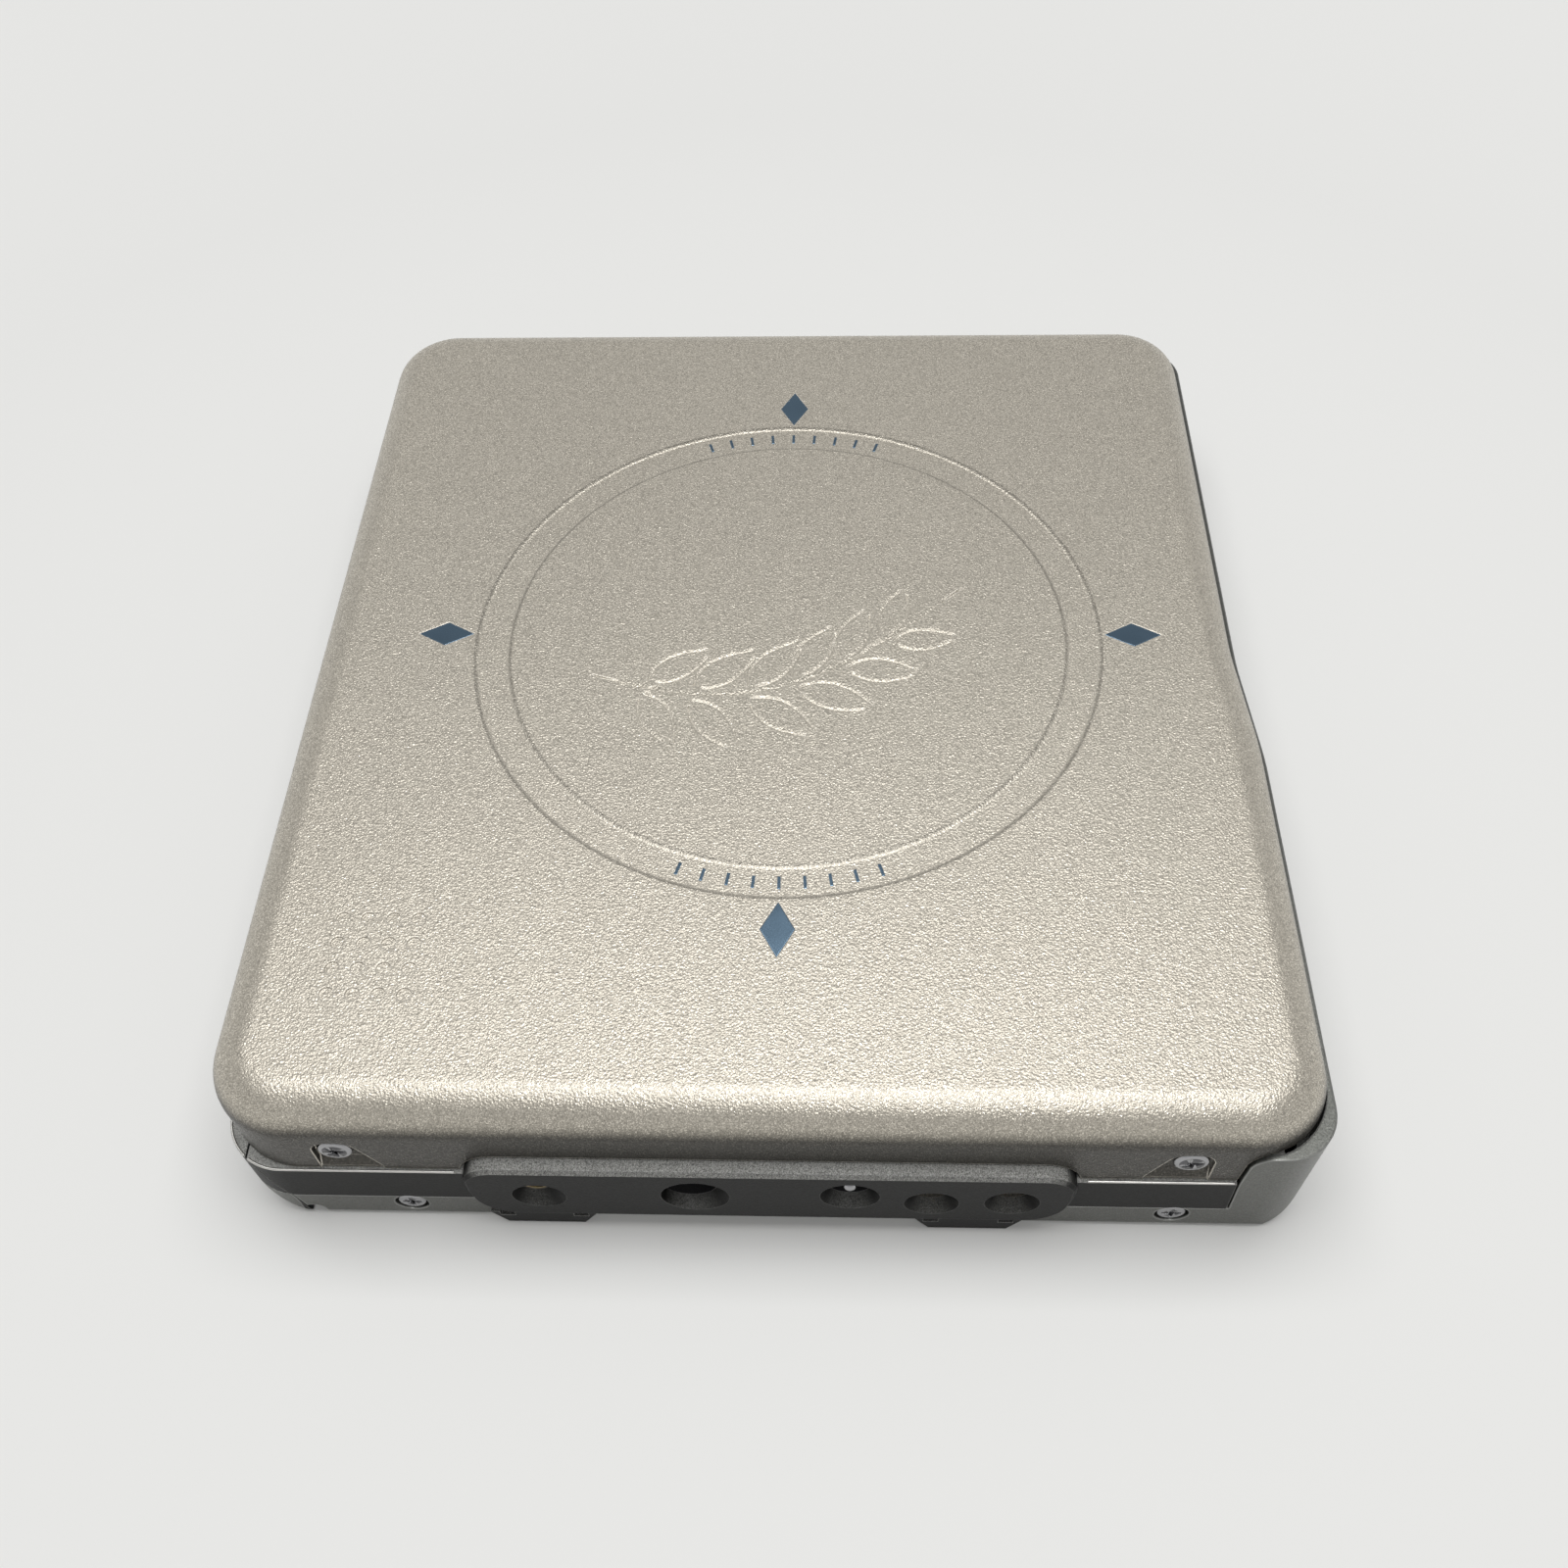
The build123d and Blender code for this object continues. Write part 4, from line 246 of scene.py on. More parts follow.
def tone_group():
    """Slow changes of tone, as from handling and uneven paint."""
    tree, given, out = open_group("Slow tone", [("Scale", 60.0), ("Amount", 0.1)],
                                  [("Factor", "NodeSocketFloat")])
    place = put(tree, "ShaderNodeTexCoord").outputs["Object"]
    cloud = put(tree, "ShaderNodeTexNoise", None, {"Vector": place, "Scale": given["Scale"], "Detail": 4.0})
    swing = sums(tree, "SUBTRACT", cloud.outputs["Fac"], 0.5)
    tree.links.new(sums(tree, "ADD", 1.0, sums(tree, "MULTIPLY", swing, given["Amount"])),
                   out.inputs["Factor"])
    return tree


def brushed_group():
    """Fine straight lines along X, as left by rolling or brushing."""
    tree, given, out = open_group("Brushed lines", [("Pitch", 0.00012), ("Along", 0.03)],
                                  [("Height", "NodeSocketFloat")])
    place = put(tree, "ShaderNodeTexCoord").outputs["Object"]
    scale = sums(tree, "DIVIDE", 1.0, given["Pitch"])
    squeeze = put(tree, "ShaderNodeCombineXYZ", None, {"X": given["Along"], "Y": 1.0, "Z": 1.0})
    drawn = put(tree, "ShaderNodeVectorMath", {"operation": "MULTIPLY"}, {0: place, 1: squeeze.outputs[0]})
    lines = put(tree, "ShaderNodeTexNoise", None, {"Vector": drawn.outputs[0], "Scale": scale, "Detail": 2.0})
    tree.links.new(lines.outputs["Fac"], out.inputs["Height"])
    return tree


def level_group():
    """Rises from 0 to 1 between two heights of the object, and tells which faces look up."""
    tree, given, out = open_group("Level", [("Low", 0.0), ("High", 0.01)],
                                  [("Rise", "NodeSocketFloat"), ("Up", "NodeSocketFloat")])
    where = put(tree, "ShaderNodeTexCoord").outputs
    height = put(tree, "ShaderNodeSeparateXYZ", None, {0: where["Object"]}).outputs["Z"]
    lean = put(tree, "ShaderNodeSeparateXYZ", None, {0: where["Normal"]}).outputs["Z"]
    rise = put(tree, "ShaderNodeMapRange", {"interpolation_type": "SMOOTHSTEP"},
               {"Value": height, "From Min": given["Low"], "From Max": given["High"]})
    look = put(tree, "ShaderNodeMapRange", {"interpolation_type": "SMOOTHSTEP"},
               {"Value": lean, "From Min": 0.35, "From Max": 0.9})
    tree.links.new(rise.outputs[0], out.inputs["Rise"])
    tree.links.new(look.outputs[0], out.inputs["Up"])
    return tree


GROUPS = {}


def group(name):
    """The shader group of that name, built once."""
    makers = {"edges": soft_edge_group, "grain": grain_group, "tone": tone_group,
              "brushed": brushed_group, "level": level_group}
    if name not in GROUPS:
        GROUPS[name] = makers[name]()
    return GROUPS[name]


def placed(tree, name, **values):
    """A shader group placed in a material with its own values."""
    node = put(tree, "ShaderNodeGroup", {"node_tree": group(name)})
    for key, value in values.items():
        node.inputs[key.capitalize()].default_value = value
    return node.outputs


def start_material(name):
    """A new material, its tree and its shader."""
    material = bpy.data.materials.new(name)
    material.use_nodes = True
    tree = material.node_tree
    return material, tree, tree.nodes["Principled BSDF"]


def set_shader(shader, **values):
    """Plain numbers on the shader's own sockets."""
    for key, value in values.items():
        shader.inputs[key.replace("_", " ")].default_value = value


def bumped(tree, normal, height, distance, strength=1.0):
    """A bump on top of the rounded edges."""
    node = put(tree, "ShaderNodeBump", None,
               {"Strength": strength, "Distance": distance, "Height": height, "Normal": normal})
    return node.outputs[0]


# ---- finishes -----------------------------------------------------------------------------
def ring_painted_shade(tree, radii):
    """1 along the lid's round cuts, where their painted shade goes, and 0 away from them."""
    place = put(tree, "ShaderNodeTexCoord").outputs["Object"]
    from_centre = put(tree, "ShaderNodeVectorMath", {"operation": "SUBTRACT"}, {0: place, 1: (*RING_CENTRE, 0)})
    flat = put(tree, "ShaderNodeVectorMath", {"operation": "MULTIPLY"}, {0: from_centre.outputs[0], 1: (1, 1, 0)})
    reach = put(tree, "ShaderNodeVectorMath", {"operation": "LENGTH"}, {0: flat.outputs[0]}).outputs["Value"]
    mask = 0.0
    for radius in radii:
        away = sums(tree, "ABSOLUTE", sums(tree, "SUBTRACT", reach, radius), 0.0)
        near = put(tree, "ShaderNodeMapRange", None,
                   {"Value": away, "From Min": 0.05 * MM, "From Max": 0.16 * MM, "To Min": 1.0, "To Max": 0.0})
        mask = sums(tree, "MAXIMUM", mask, near.outputs[0])
    return mask


def painted_metal(name, colour, pitch, depth, flakes, rough, metal, edge, wear, skirt=1.0, rings=()):
    """Metallic paint: pebbled and speckled, with flakes, a slow tone, bright edges (partly wear, partly painted
    highlight), painted shade on the skirt and painted shade along given rings.
    """
    material, tree, shader = start_material(name)
    edges = placed(tree, "edges", radius=edge, wear=wear)
    grain = placed(tree, "grain", pitch=pitch, flakes=flakes)
    tone = placed(tree, "tone", scale=45.0, amount=0.12)
    # painted shade: below the lid's roll the skirt is painted darker by height, as less light falls there
    level = placed(tree, "level", low=12.2 * MM, high=13.6 * MM)
    dotted = sums(tree, "ADD", 0.54, sums(tree, "MULTIPLY", grain["Speckle"], 0.86))
    shade = sums(tree, "ADD", skirt, sums(tree, "MULTIPLY", level["Rise"], 1.0 - skirt))
    # painted shade along the ring's cuts, darkening the colour there
    if rings:
        shade = sums(tree, "MULTIPLY", shade, sums(tree, "SUBTRACT", 1.0,
                                                   sums(tree, "MULTIPLY", ring_painted_shade(tree, rings), 0.4)))
    amount = sums(tree, "MULTIPLY", sums(tree, "MULTIPLY", tone["Factor"], dotted), shade)
    base = blend_colour(tree, 1.0, (*colour, 1), amount, "MULTIPLY")
    lighter = tuple(min(1.0, c * 1.9 + 0.06) for c in colour)
    sparkled = blend_colour(tree, sums(tree, "MULTIPLY", grain["Flake"], shade), base, (*lighter, 1))
    # edges painted lighter: partly rubbed paint, partly painted highlight
    rubbed_and_highlit = tuple(min(1.0, c * 1.6 + 0.2) for c in colour)
    worn_and_highlit = blend_colour(tree, edges["Mask"], sparkled, (*rubbed_and_highlit, 1))
    tree.links.new(worn_and_highlit, shader.inputs["Base Color"])
    rougher = sums(tree, "SUBTRACT", rough, sums(tree, "MULTIPLY", grain["Flake"], 0.16))
    tree.links.new(rougher, shader.inputs["Roughness"])
    set_shader(shader, Metallic=metal)
    tree.links.new(bumped(tree, edges["Normal"], grain["Height"], depth), shader.inputs["Normal"])
    return material


def moulded_plastic(name, colour, pitch, depth, rough, edge, wear, shine=(0.1, 0.1, 0.1), ledge_painted_light=0.0, top=0.0):
    """Dark moulding with a fine spark-eroded texture, bright edges (partly wear, partly painted highlight) and
    upward faces painted lighter as painted light from above.
    """
    material, tree, shader = start_material(name)
    edges = placed(tree, "edges", radius=edge, wear=wear)
    grain = placed(tree, "grain", pitch=pitch, flakes=0.35)
    tone = placed(tree, "tone", scale=70.0, amount=0.2)
    level = placed(tree, "level", low=top - 1.0 * MM, high=top - 0.4 * MM)
    base = blend_colour(tree, 1.0, (*colour, 1), tone["Factor"], "MULTIPLY")
    lighter = tuple(c * 1.9 + 0.02 for c in colour)
    speckled = blend_colour(tree, grain["Flake"], base, (*lighter, 1))
    # painted light: faces that look up are painted lighter as if lit from above, fully near the top, a quarter as
    # much lower down
    faces_up = sums(tree, "MULTIPLY", sums(tree, "ADD", 0.25, sums(tree, "MULTIPLY", level["Rise"], 0.75)),
                    level["Up"])
    painted_top_light = sums(tree, "MULTIPLY", sums(tree, "MULTIPLY", faces_up, ledge_painted_light),
                 sums(tree, "ADD", grain["Flake"], grain["Speckle"]), clamp=True)
    lit = blend_colour(tree, painted_top_light, speckled, (0.6, 0.6, 0.57, 1))
    # edges painted in the shine colour: partly wear, partly painted highlight
    worn_and_highlit = blend_colour(tree, edges["Mask"], lit, (*shine, 1))
    tree.links.new(worn_and_highlit, shader.inputs["Base Color"])
    tree.links.new(sums(tree, "ADD", rough - 0.05, sums(tree, "MULTIPLY", grain["Height"], 0.08)),
                   shader.inputs["Roughness"])
    set_shader(shader, Specular_IOR_Level=0.12)
    tree.links.new(bumped(tree, edges["Normal"], grain["Height"], depth), shader.inputs["Normal"])
    return material


def brushed_metal(name, colour, pitch, depth, rough, along=0.03, edge=0.00006):
    """Rolled or brushed sheet with straight lines and bright edges."""
    material, tree, shader = start_material(name)
    edges = placed(tree, "edges", radius=edge, wear=0.8)
    lines = placed(tree, "brushed", pitch=pitch, along=along)
    tone = placed(tree, "tone", scale=90.0, amount=0.18)
    base = blend_colour(tree, 1.0, (*colour, 1), tone["Factor"], "MULTIPLY")
    # edges painted lighter: partly wear, partly painted highlight
    worn_and_highlit = blend_colour(tree, edges["Mask"], base, (*tuple(min(1.0, c * 1.3 + 0.08) for c in colour), 1))
    tree.links.new(worn_and_highlit, shader.inputs["Base Color"])
    tree.links.new(sums(tree, "ADD", rough - 0.08, sums(tree, "MULTIPLY", lines["Height"], 0.16)),
                   shader.inputs["Roughness"])
    set_shader(shader, Metallic=1.0)
    tree.links.new(bumped(tree, edges["Normal"], lines["Height"], depth), shader.inputs["Normal"])
    return material


def plated(name, colour, rough, wear=2.5):
    """Bright plating with faint handling marks."""
    material, tree, shader = start_material(name)
    edges = placed(tree, "edges", radius=0.00007, wear=wear)
    tone = placed(tree, "tone", scale=400.0, amount=0.25)
    base = blend_colour(tree, 1.0, (*colour, 1), tone["Factor"], "MULTIPLY")
    # edges painted lighter: partly wear, partly painted highlight
    bright = tuple(min(1.0, c * 1.5 + 0.2) for c in colour)
    tree.links.new(blend_colour(tree, edges["Mask"], base, (*bright, 1)), shader.inputs["Base Color"])
    tree.links.new(sums(tree, "MULTIPLY", tone["Factor"], rough), shader.inputs["Roughness"])
    set_shader(shader, Metallic=1.0)
    tree.links.new(edges["Normal"], shader.inputs["Normal"])
    return material


def circuit_board(name):
    """Solder-resist green with copper tracks under it."""
    material, tree, shader = start_material(name)
    place = put(tree, "ShaderNodeTexCoord").outputs["Object"]
    tracks = put(tree, "ShaderNodeTexBrick", {"offset": 0.5, "squash": 0.6},
                 {"Vector": place, "Scale": 260.0, "Mortar Size": 0.07, "Mortar Smooth": 0.1,
                  "Color1": (0.012, 0.085, 0.04, 1), "Color2": (0.014, 0.1, 0.048, 1),
                  "Mortar": (0.06, 0.22, 0.09, 1)})
    edges = placed(tree, "edges", radius=0.00005, wear=0.6)
    # edges painted lighter: partly wear, partly painted highlight
    worn_and_highlit = blend_colour(tree, edges["Mask"], tracks.outputs["Color"], (0.25, 0.3, 0.12, 1))
    tree.links.new(worn_and_highlit, shader.inputs["Base Color"])
    set_shader(shader, Roughness=0.35, Coat_Weight=0.4)
    tree.links.new(bumped(tree, edges["Normal"], tracks.outputs["Fac"], 0.00003), shader.inputs["Normal"])
    return material


def clear_lens(name):
    """A coated glass lens."""
    material, tree, shader = start_material(name)
    tone = placed(tree, "tone", scale=900.0, amount=0.3)
    tint_ = blend_colour(tree, 1.0, (0.45, 0.35, 0.75, 1), tone["Factor"], "MULTIPLY")
    tree.links.new(tint_, shader.inputs["Base Color"])
    set_shader(shader, Roughness=0.03, Transmission_Weight=0.8, IOR=1.6, Coat_Weight=1.0)
    return material


def build_finishes(colours, sizes):
    """All the materials by the record's slots, and a few for pieces of this file."""
    pitch = sizes.grain_pitch
    steel = (0.62, 0.61, 0.58)
    return {
        # the lid's skirt and the ring's cuts get painted shade
        "pearl_lid": painted_metal("Lid paint", colours.lid[:], pitch, 0.00003, 0.9, 0.38, 0.6, 0.00016, 9.0,
                                   skirt=0.12, rings=(RING_INNER - 0.1 * MM, RING_OUTER + 0.1 * MM)),
        "silver_cover": painted_metal("Cover metal", colours.cover[:], pitch * 0.9, 0.000006, 0.3, 0.34, 0.75,
                                      0.00022, 9.0),
        "dark_frame": moulded_plastic("Band moulding", colours.band[:], pitch * 0.8, 0.000005, 0.4, 0.0001,
                                      3.0, shine=(0.5, 0.5, 0.48), ledge_painted_light=0.9, top=FRAME_BOX[1].z),
        "bar_plastic": moulded_plastic("Bar moulding", colours.bar[:], pitch * 0.8, 0.000007, 0.4, 0.0001,
                                       2.6, shine=(0.3, 0.3, 0.29), ledge_painted_light=0.8,
                                       top=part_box("terminal_bar")[1].z),
        "dark_moulding": moulded_plastic("Socket moulding", (0.018, 0.018, 0.019), pitch * 0.7, 0.00001, 0.45,
                                         0.00006, 0.5),
        "damper_rubber": moulded_plastic("Damper rubber", (0.02, 0.02, 0.021), pitch * 0.5, 0.00002, 0.8,
                                         0.0001, 0.3),
        "chip_black": moulded_plastic("Chip resin", (0.016, 0.016, 0.017), pitch * 0.4, 0.00001, 0.6,
                                      0.00005, 0.4),
        # bright plating for the beads that stand in for highlights on the band and door edges
        "trim_silver": plated("Bright trim", (0.6, 0.59, 0.56), 0.3),
        "capacitor_tan": moulded_plastic("Capacitor ceramic", (0.3, 0.2, 0.12), pitch * 0.4, 0.000005, 0.45,
                                         0.00004, 1.0, shine=(0.6, 0.6, 0.6)),
        "steel_sheet": brushed_metal("Steel sheet", steel, 0.00015, 0.000005, 0.32),
        "motor_can": brushed_metal("Motor can", (0.5, 0.5, 0.51), 0.0002, 0.000006, 0.3, along=1.0),
        "cell_wrap": brushed_metal("Cell skin", (0.32, 0.36, 0.4), 0.0003, 0.000004, 0.4, along=0.1),
        "spring_steel": brushed_metal("Spring steel", (0.55, 0.53, 0.48), 0.0001, 0.000004, 0.28),
        "bright_steel": plated("Bright steel", (0.36, 0.36, 0.37), 0.12),
        # painted reflection: the screw steel is darker than the other steel, standing in for dark surroundings
        # mirrored in the heads
        "screw_steel": plated("Screw steel", (0.1, 0.1, 0.105), 0.14, wear=0.4),
        "mirror_inlay": plated("Mirror inlay", colours.inlay[:], 0.2),
        "gold_contact": plated("Gold plating", (0.85, 0.62, 0.28), 0.2),
        "brass_bush": plated("Turned brass", (0.42, 0.33, 0.18), 0.3),
        "key_metal": plated("Plated key", colours.key[:], 0.24),
        "lens_glass": clear_lens("Coated lens"),
        "board_green": circuit_board("Circuit board"),
    }


FINISHES = {}


def finishes():
    """The materials, built once from the scene's colours and sizes."""
    if not FINISHES:
        scene = bpy.context.scene
        FINISHES.update(build_finishes(scene.player_colours, scene.player_sizes))
    return FINISHES


# ---- mesh helpers -------------------------------------------------------------------------
def piece(name, mesh, body, slot, *nodes):
    """A finished mesh as a piece of the object that moves with body and stands for nodes."""
    made = bpy.data.objects.new(name, mesh)
    bpy.context.scene.collection.objects.link(made)
    mesh.materials.clear()
    mesh.materials.append(finishes()[slot])
    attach(made, body)
    if nodes:
        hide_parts(*nodes)
    return made


def plain_mesh(name, holder):
    """The mesh that a temporary object's modifiers give; the object goes."""
    graph = bpy.context.evaluated_depsgraph_get()
    mesh = bpy.data.meshes.new_from_object(holder.evaluated_get(graph), depsgraph=graph)
    mesh.name = name
    bpy.data.objects.remove(holder)
    return mesh


def holder_of(name, mesh):
    """A temporary object for a mesh, to carry modifiers."""
    made = bpy.data.objects.new(name, mesh)
    bpy.context.scene.collection.objects.link(made)
    return made


def cad_copy(node):
    """A merged copy of a node's mesh."""
    mesh = frame["nodes"][node].data.copy()
    work = bmesh.new()
    work.from_mesh(mesh)
    bmesh.ops.remove_doubles(work, verts=work.verts, dist=2e-7)
    bmesh.ops.dissolve_limit(work, angle_limit=math.radians(0.4), verts=work.verts, edges=work.edges)
    clean = bpy.data.meshes.new(node)
    work.to_mesh(clean)
    work.free()
    return clean


def without_slivers(mesh, distance):
    """Closes the tiny edges and faces that a cut leaves."""
    work = bmesh.new()
    work.from_mesh(mesh)
    bmesh.ops.remove_doubles(work, verts=work.verts, dist=distance)
    bmesh.ops.dissolve_degenerate(work, dist=distance, edges=work.edges)
    work.to_mesh(mesh)
    work.free()


def smooth_by_angle(mesh, degrees):
    """Smooth shading with sharp edges where faces turn by more than that."""
    mesh.shade_smooth()
    mesh.set_sharp_from_angle(angle=math.radians(degrees))


def even_shading(mesh, degrees):
    """The same, with each normal following its largest faces, so that flats look flat."""
    smooth_by_angle(mesh, degrees)
    work = holder_of(mesh.name + "_work", mesh)
    weigh = work.modifiers.new("weigh", "WEIGHTED_NORMAL")
    weigh.keep_sharp = True
    weigh.weight = 100
    return plain_mesh(mesh.name, work)


def prism(work, outline, low, high, foot=None):
    """A closed upright prism over a plan outline, or one that narrows to the outline foot."""
    lower = [work.verts.new((x, y, low)) for x, y in foot or outline]
    upper = [work.verts.new((x, y, high)) for x, y in outline]
    work.faces.new(list(reversed(lower)))
    work.faces.new(upper)
    count = len(outline)
    for i in range(count):
        j = (i + 1) % count
        work.faces.new((lower[i], lower[j], upper[j], upper[i]))


def ring_wedge(work, centre, foot, mouth, low, high):
    """A closed ring whose section widens from the radii foot at low to the radii mouth at high."""
    turns = 200
    rows = []
    for radius, z in ((foot[0], low), (foot[1], low), (mouth[1], high), (mouth[0], high)):
        rows.append([work.verts.new((centre[0] + radius * math.cos(2 * math.pi * i / turns),
                                     centre[1] + radius * math.sin(2 * math.pi * i / turns), z))
                     for i in range(turns)])
    for first, second in zip(rows, rows[1:] + rows[:1]):
        for i in range(turns):
            j = (i + 1) % turns
            work.faces.new((first[i], second[i], second[j], first[j]))


def ribbon(points, width):
    """The outline of a line of that width along open points, tapered at its ends."""
    left, right = [], []
    count = len(points)
    for i, point in enumerate(points):
        before = points[max(0, i - 1)]
        after = points[min(count - 1, i + 1)]
        along = Vector((after[0] - before[0], after[1] - before[1])).normalized()
        taper = min(1.0, 0.35 + 3.2 * min(i, count - 1 - i) / count)
        side = Vector((-along.y, along.x)) * (width / 2 * taper)
        left.append((point[0] + side.x, point[1] + side.y))
        right.append((point[0] - side.x, point[1] - side.y))
    return right + list(reversed(left))


# ---- lid ----------------------------------------------------------------------------------
def sprig_lines(leaf_length):
    """The open lines of a leafy sprig that lies across the lid's middle."""
    stem = []
    for i in range(41):
        t = i / 40
        stem.append(((-14.0 + 28.0 * t) * MM, (-3.2 + 9.0 * t - 5.6 * math.sin(math.pi * t)) * MM))
    lines = [stem]
    for k, t in enumerate((0.14, 0.27, 0.4, 0.53, 0.66, 0.79)):
        i = int(t * 40)
        base = Vector(stem[i])
        along = (Vector(stem[i + 1]) - Vector(stem[i - 1])).normalized()
        size = leaf_length * (0.72 + 0.28 * math.sin(math.pi * (t + 0.1)))
        for side in (-1, 1):
            turn = math.radians(side * (48 - 3 * k))
            heading = Vector((along.x * math.cos(turn) - along.y * math.sin(turn),
                              along.x * math.sin(turn) + along.y * math.cos(turn)))
            across = Vector((-heading.y, heading.x))
            start = base + heading * 0.9 * MM
            for bulge in (-1, 1):
                edge = []
                for j in range(17):
                    s = j / 16
                    swell = math.sin(math.pi * s ** 0.8) * size * 0.19 * bulge
                    edge.append(tuple(start + heading * (size * s) + across * (swell + 0.05 * MM * bulge)))
                lines.append(edge[0 if bulge > 0 else 1:-1] if bulge > 0 else edge[1:-2])
    return lines


class PLAYER_OT_lid_shell(bpy.types.Operator):
    """Sinks the leafy sprig and the corner's dots into the lid"""
    bl_idname = "player.lid_shell"
    bl_label = "Lid shell"

    def execute(self, context):
        sizes = context.scene.player_sizes
        low = TOP - sizes.groove_depth
        slope = sizes.groove_width / sizes.groove_depth
        high = 0.2 * MM
        tools = bmesh.new()
        for line in sprig_lines(sizes.leaf_length):
            mouth = ribbon(line, sizes.groove_width * 1.15 + slope * high)
            prism(tools, mouth, low, TOP + high, ribbon(line, sizes.groove_width * 0.15))
        for i in range(4):
            for j in range(4):
                centre = ((-28.6 + 1.7 * i) * MM, (-30.4 + 1.9 * j) * MM)
                round_ = [(centre[0] + 0.5 * MM * math.cos(a * math.pi / 8),
                           centre[1] + 0.5 * MM * math.sin(a * math.pi / 8)) for a in range(16)]
                prism(tools, round_, low, TOP + 0.2 * MM)
        for radius, side in ((RING_INNER, -1), (RING_OUTER, 1)):
            ring_wedge(tools, RING_CENTRE, sorted((radius - side * 0.16 * MM, radius - side * 0.04 * MM)),
                       sorted((radius - side * 0.34 * MM, radius + side * 0.5 * MM)),
                       TOP - 0.13 * MM, TOP + high)
        bmesh.ops.recalc_face_normals(tools, faces=tools.faces)
        cutter = bpy.data.meshes.new("grooves")
        tools.to_mesh(cutter)
        tools.free()
        knife = holder_of("grooves", cutter)
        shell = holder_of("lid_work", cad_copy("lid_cover"))
        cut = shell.modifiers.new("grooves", "BOOLEAN")
        cut.operation = "DIFFERENCE"
        cut.solver = "EXACT"
        cut.use_self = True
        cut.object = knife
        mesh = plain_mesh("lid_shell", shell)
        bpy.data.objects.remove(knife)
        if len(mesh.polygons) < 200:
            raise RuntimeError("the lid's grooves could not be cut")
        without_slivers(mesh, 1.5e-6)
        mesh = even_shading(mesh, 28)
        piece("lid_shell", mesh, "lid", "pearl_lid", "lid_cover")
        return {"FINISHED"}


# ---- geometry trees -----------------------------------------------------------------------
def open_tree(name, inputs):
    """An empty geometry tree with its named inputs."""
    tree = bpy.data.node_groups.new(name, "GeometryNodeTree")
    tree.is_modifier = True
    tree.interface.new_socket(name="Geometry", in_out="INPUT", socket_type="NodeSocketGeometry")
    for label, kind, value in inputs:
        socket = tree.interface.new_socket(name=label, in_out="INPUT", socket_type=kind)
        if value is not None:
            socket.default_value = value
    tree.interface.new_socket(name="Geometry", in_out="OUTPUT", socket_type="NodeSocketGeometry")
    return tree, put(tree, "NodeGroupInput").outputs, put(tree, "NodeGroupOutput")


def grown(name, mesh, tree, body, slot, *nodes, **values):
    """The piece that a geometry tree makes from a small starting mesh."""
    start = holder_of(name + "_start", mesh)
    grow = start.modifiers.new("grow", "NODES")
    grow.node_group = tree
    for item in tree.interface.items_tree:
        if item.item_type == "SOCKET" and item.in_out == "INPUT" and item.name in values:
            grow[item.identifier] = values[item.name]
    for item in tree.interface.items_tree:
        if item.item_type == "SOCKET" and item.in_out == "INPUT" and item.name == "Material":
            grow[item.identifier] = finishes()[slot]
    made = plain_mesh(name, start)
    if not made.polygons:
        raise RuntimeError(f"{name} came out empty")
    return piece(name, made, body, slot, *nodes)


def close_tree(tree, given, out, instances):
    """Realizes the instances and sets their material."""
    real = put(tree, "GeometryNodeRealizeInstances", None, {0: instances})
    dressed = put(tree, "GeometryNodeSetMaterial", None, {"Geometry": real.outputs[0],
                                                           "Material": given["Material"]})
    tree.links.new(dressed.outputs[0], out.inputs[0])
    return tree


def screw_head_mesh():
    """A pan head of unit radius with a tapered cross recess, on z = 0, as a template."""
    work = bmesh.new()
    rings, turns = 15, 56
    grid = []
    for i in range(rings + 1):
        r = (i / rings) ** 0.9
        row = []
        for j in range(turns):
            a = 2 * math.pi * j / turns
            x, y = r * math.cos(a), r * math.sin(a)
            dome = 0.42 * math.sqrt(max(0.0, 1 - (r * 0.93) ** 3.2))
            depth = 0.0
            for u, v in ((abs(x), abs(y)), (abs(y), abs(x))):
                arm = min(1.0, max(0.0, (0.17 - v) / 0.07)) * min(1.0, max(0.0, (0.66 - u) / 0.2))
                depth = max(depth, arm)
            row.append(work.verts.new((x, y, dome - 0.34 * depth)))
        grid.append(row)
    grid.append([work.verts.new((v.co.x, v.co.y, -0.05)) for v in grid[-1]])
    for i in range(1, len(grid)):
        for j in range(turns):
            k = (j + 1) % turns
            if i == 1:
                continue
            work.faces.new((grid[i - 1][j], grid[i][j], grid[i][k], grid[i - 1][k]))
    hub = grid[0][0]
    for j in range(turns):
        work.faces.new((hub, grid[1][j], grid[1][(j + 1) % turns]))
    work.faces.new(list(reversed(grid[-1])))
    bmesh.ops.delete(work, geom=grid[0][1:], context="VERTS")
    bmesh.ops.recalc_face_normals(work, faces=work.faces)
    mesh = bpy.data.meshes.new("screw_head")
    work.to_mesh(mesh)
    work.free()
    smooth_by_angle(mesh, 50)
    return mesh


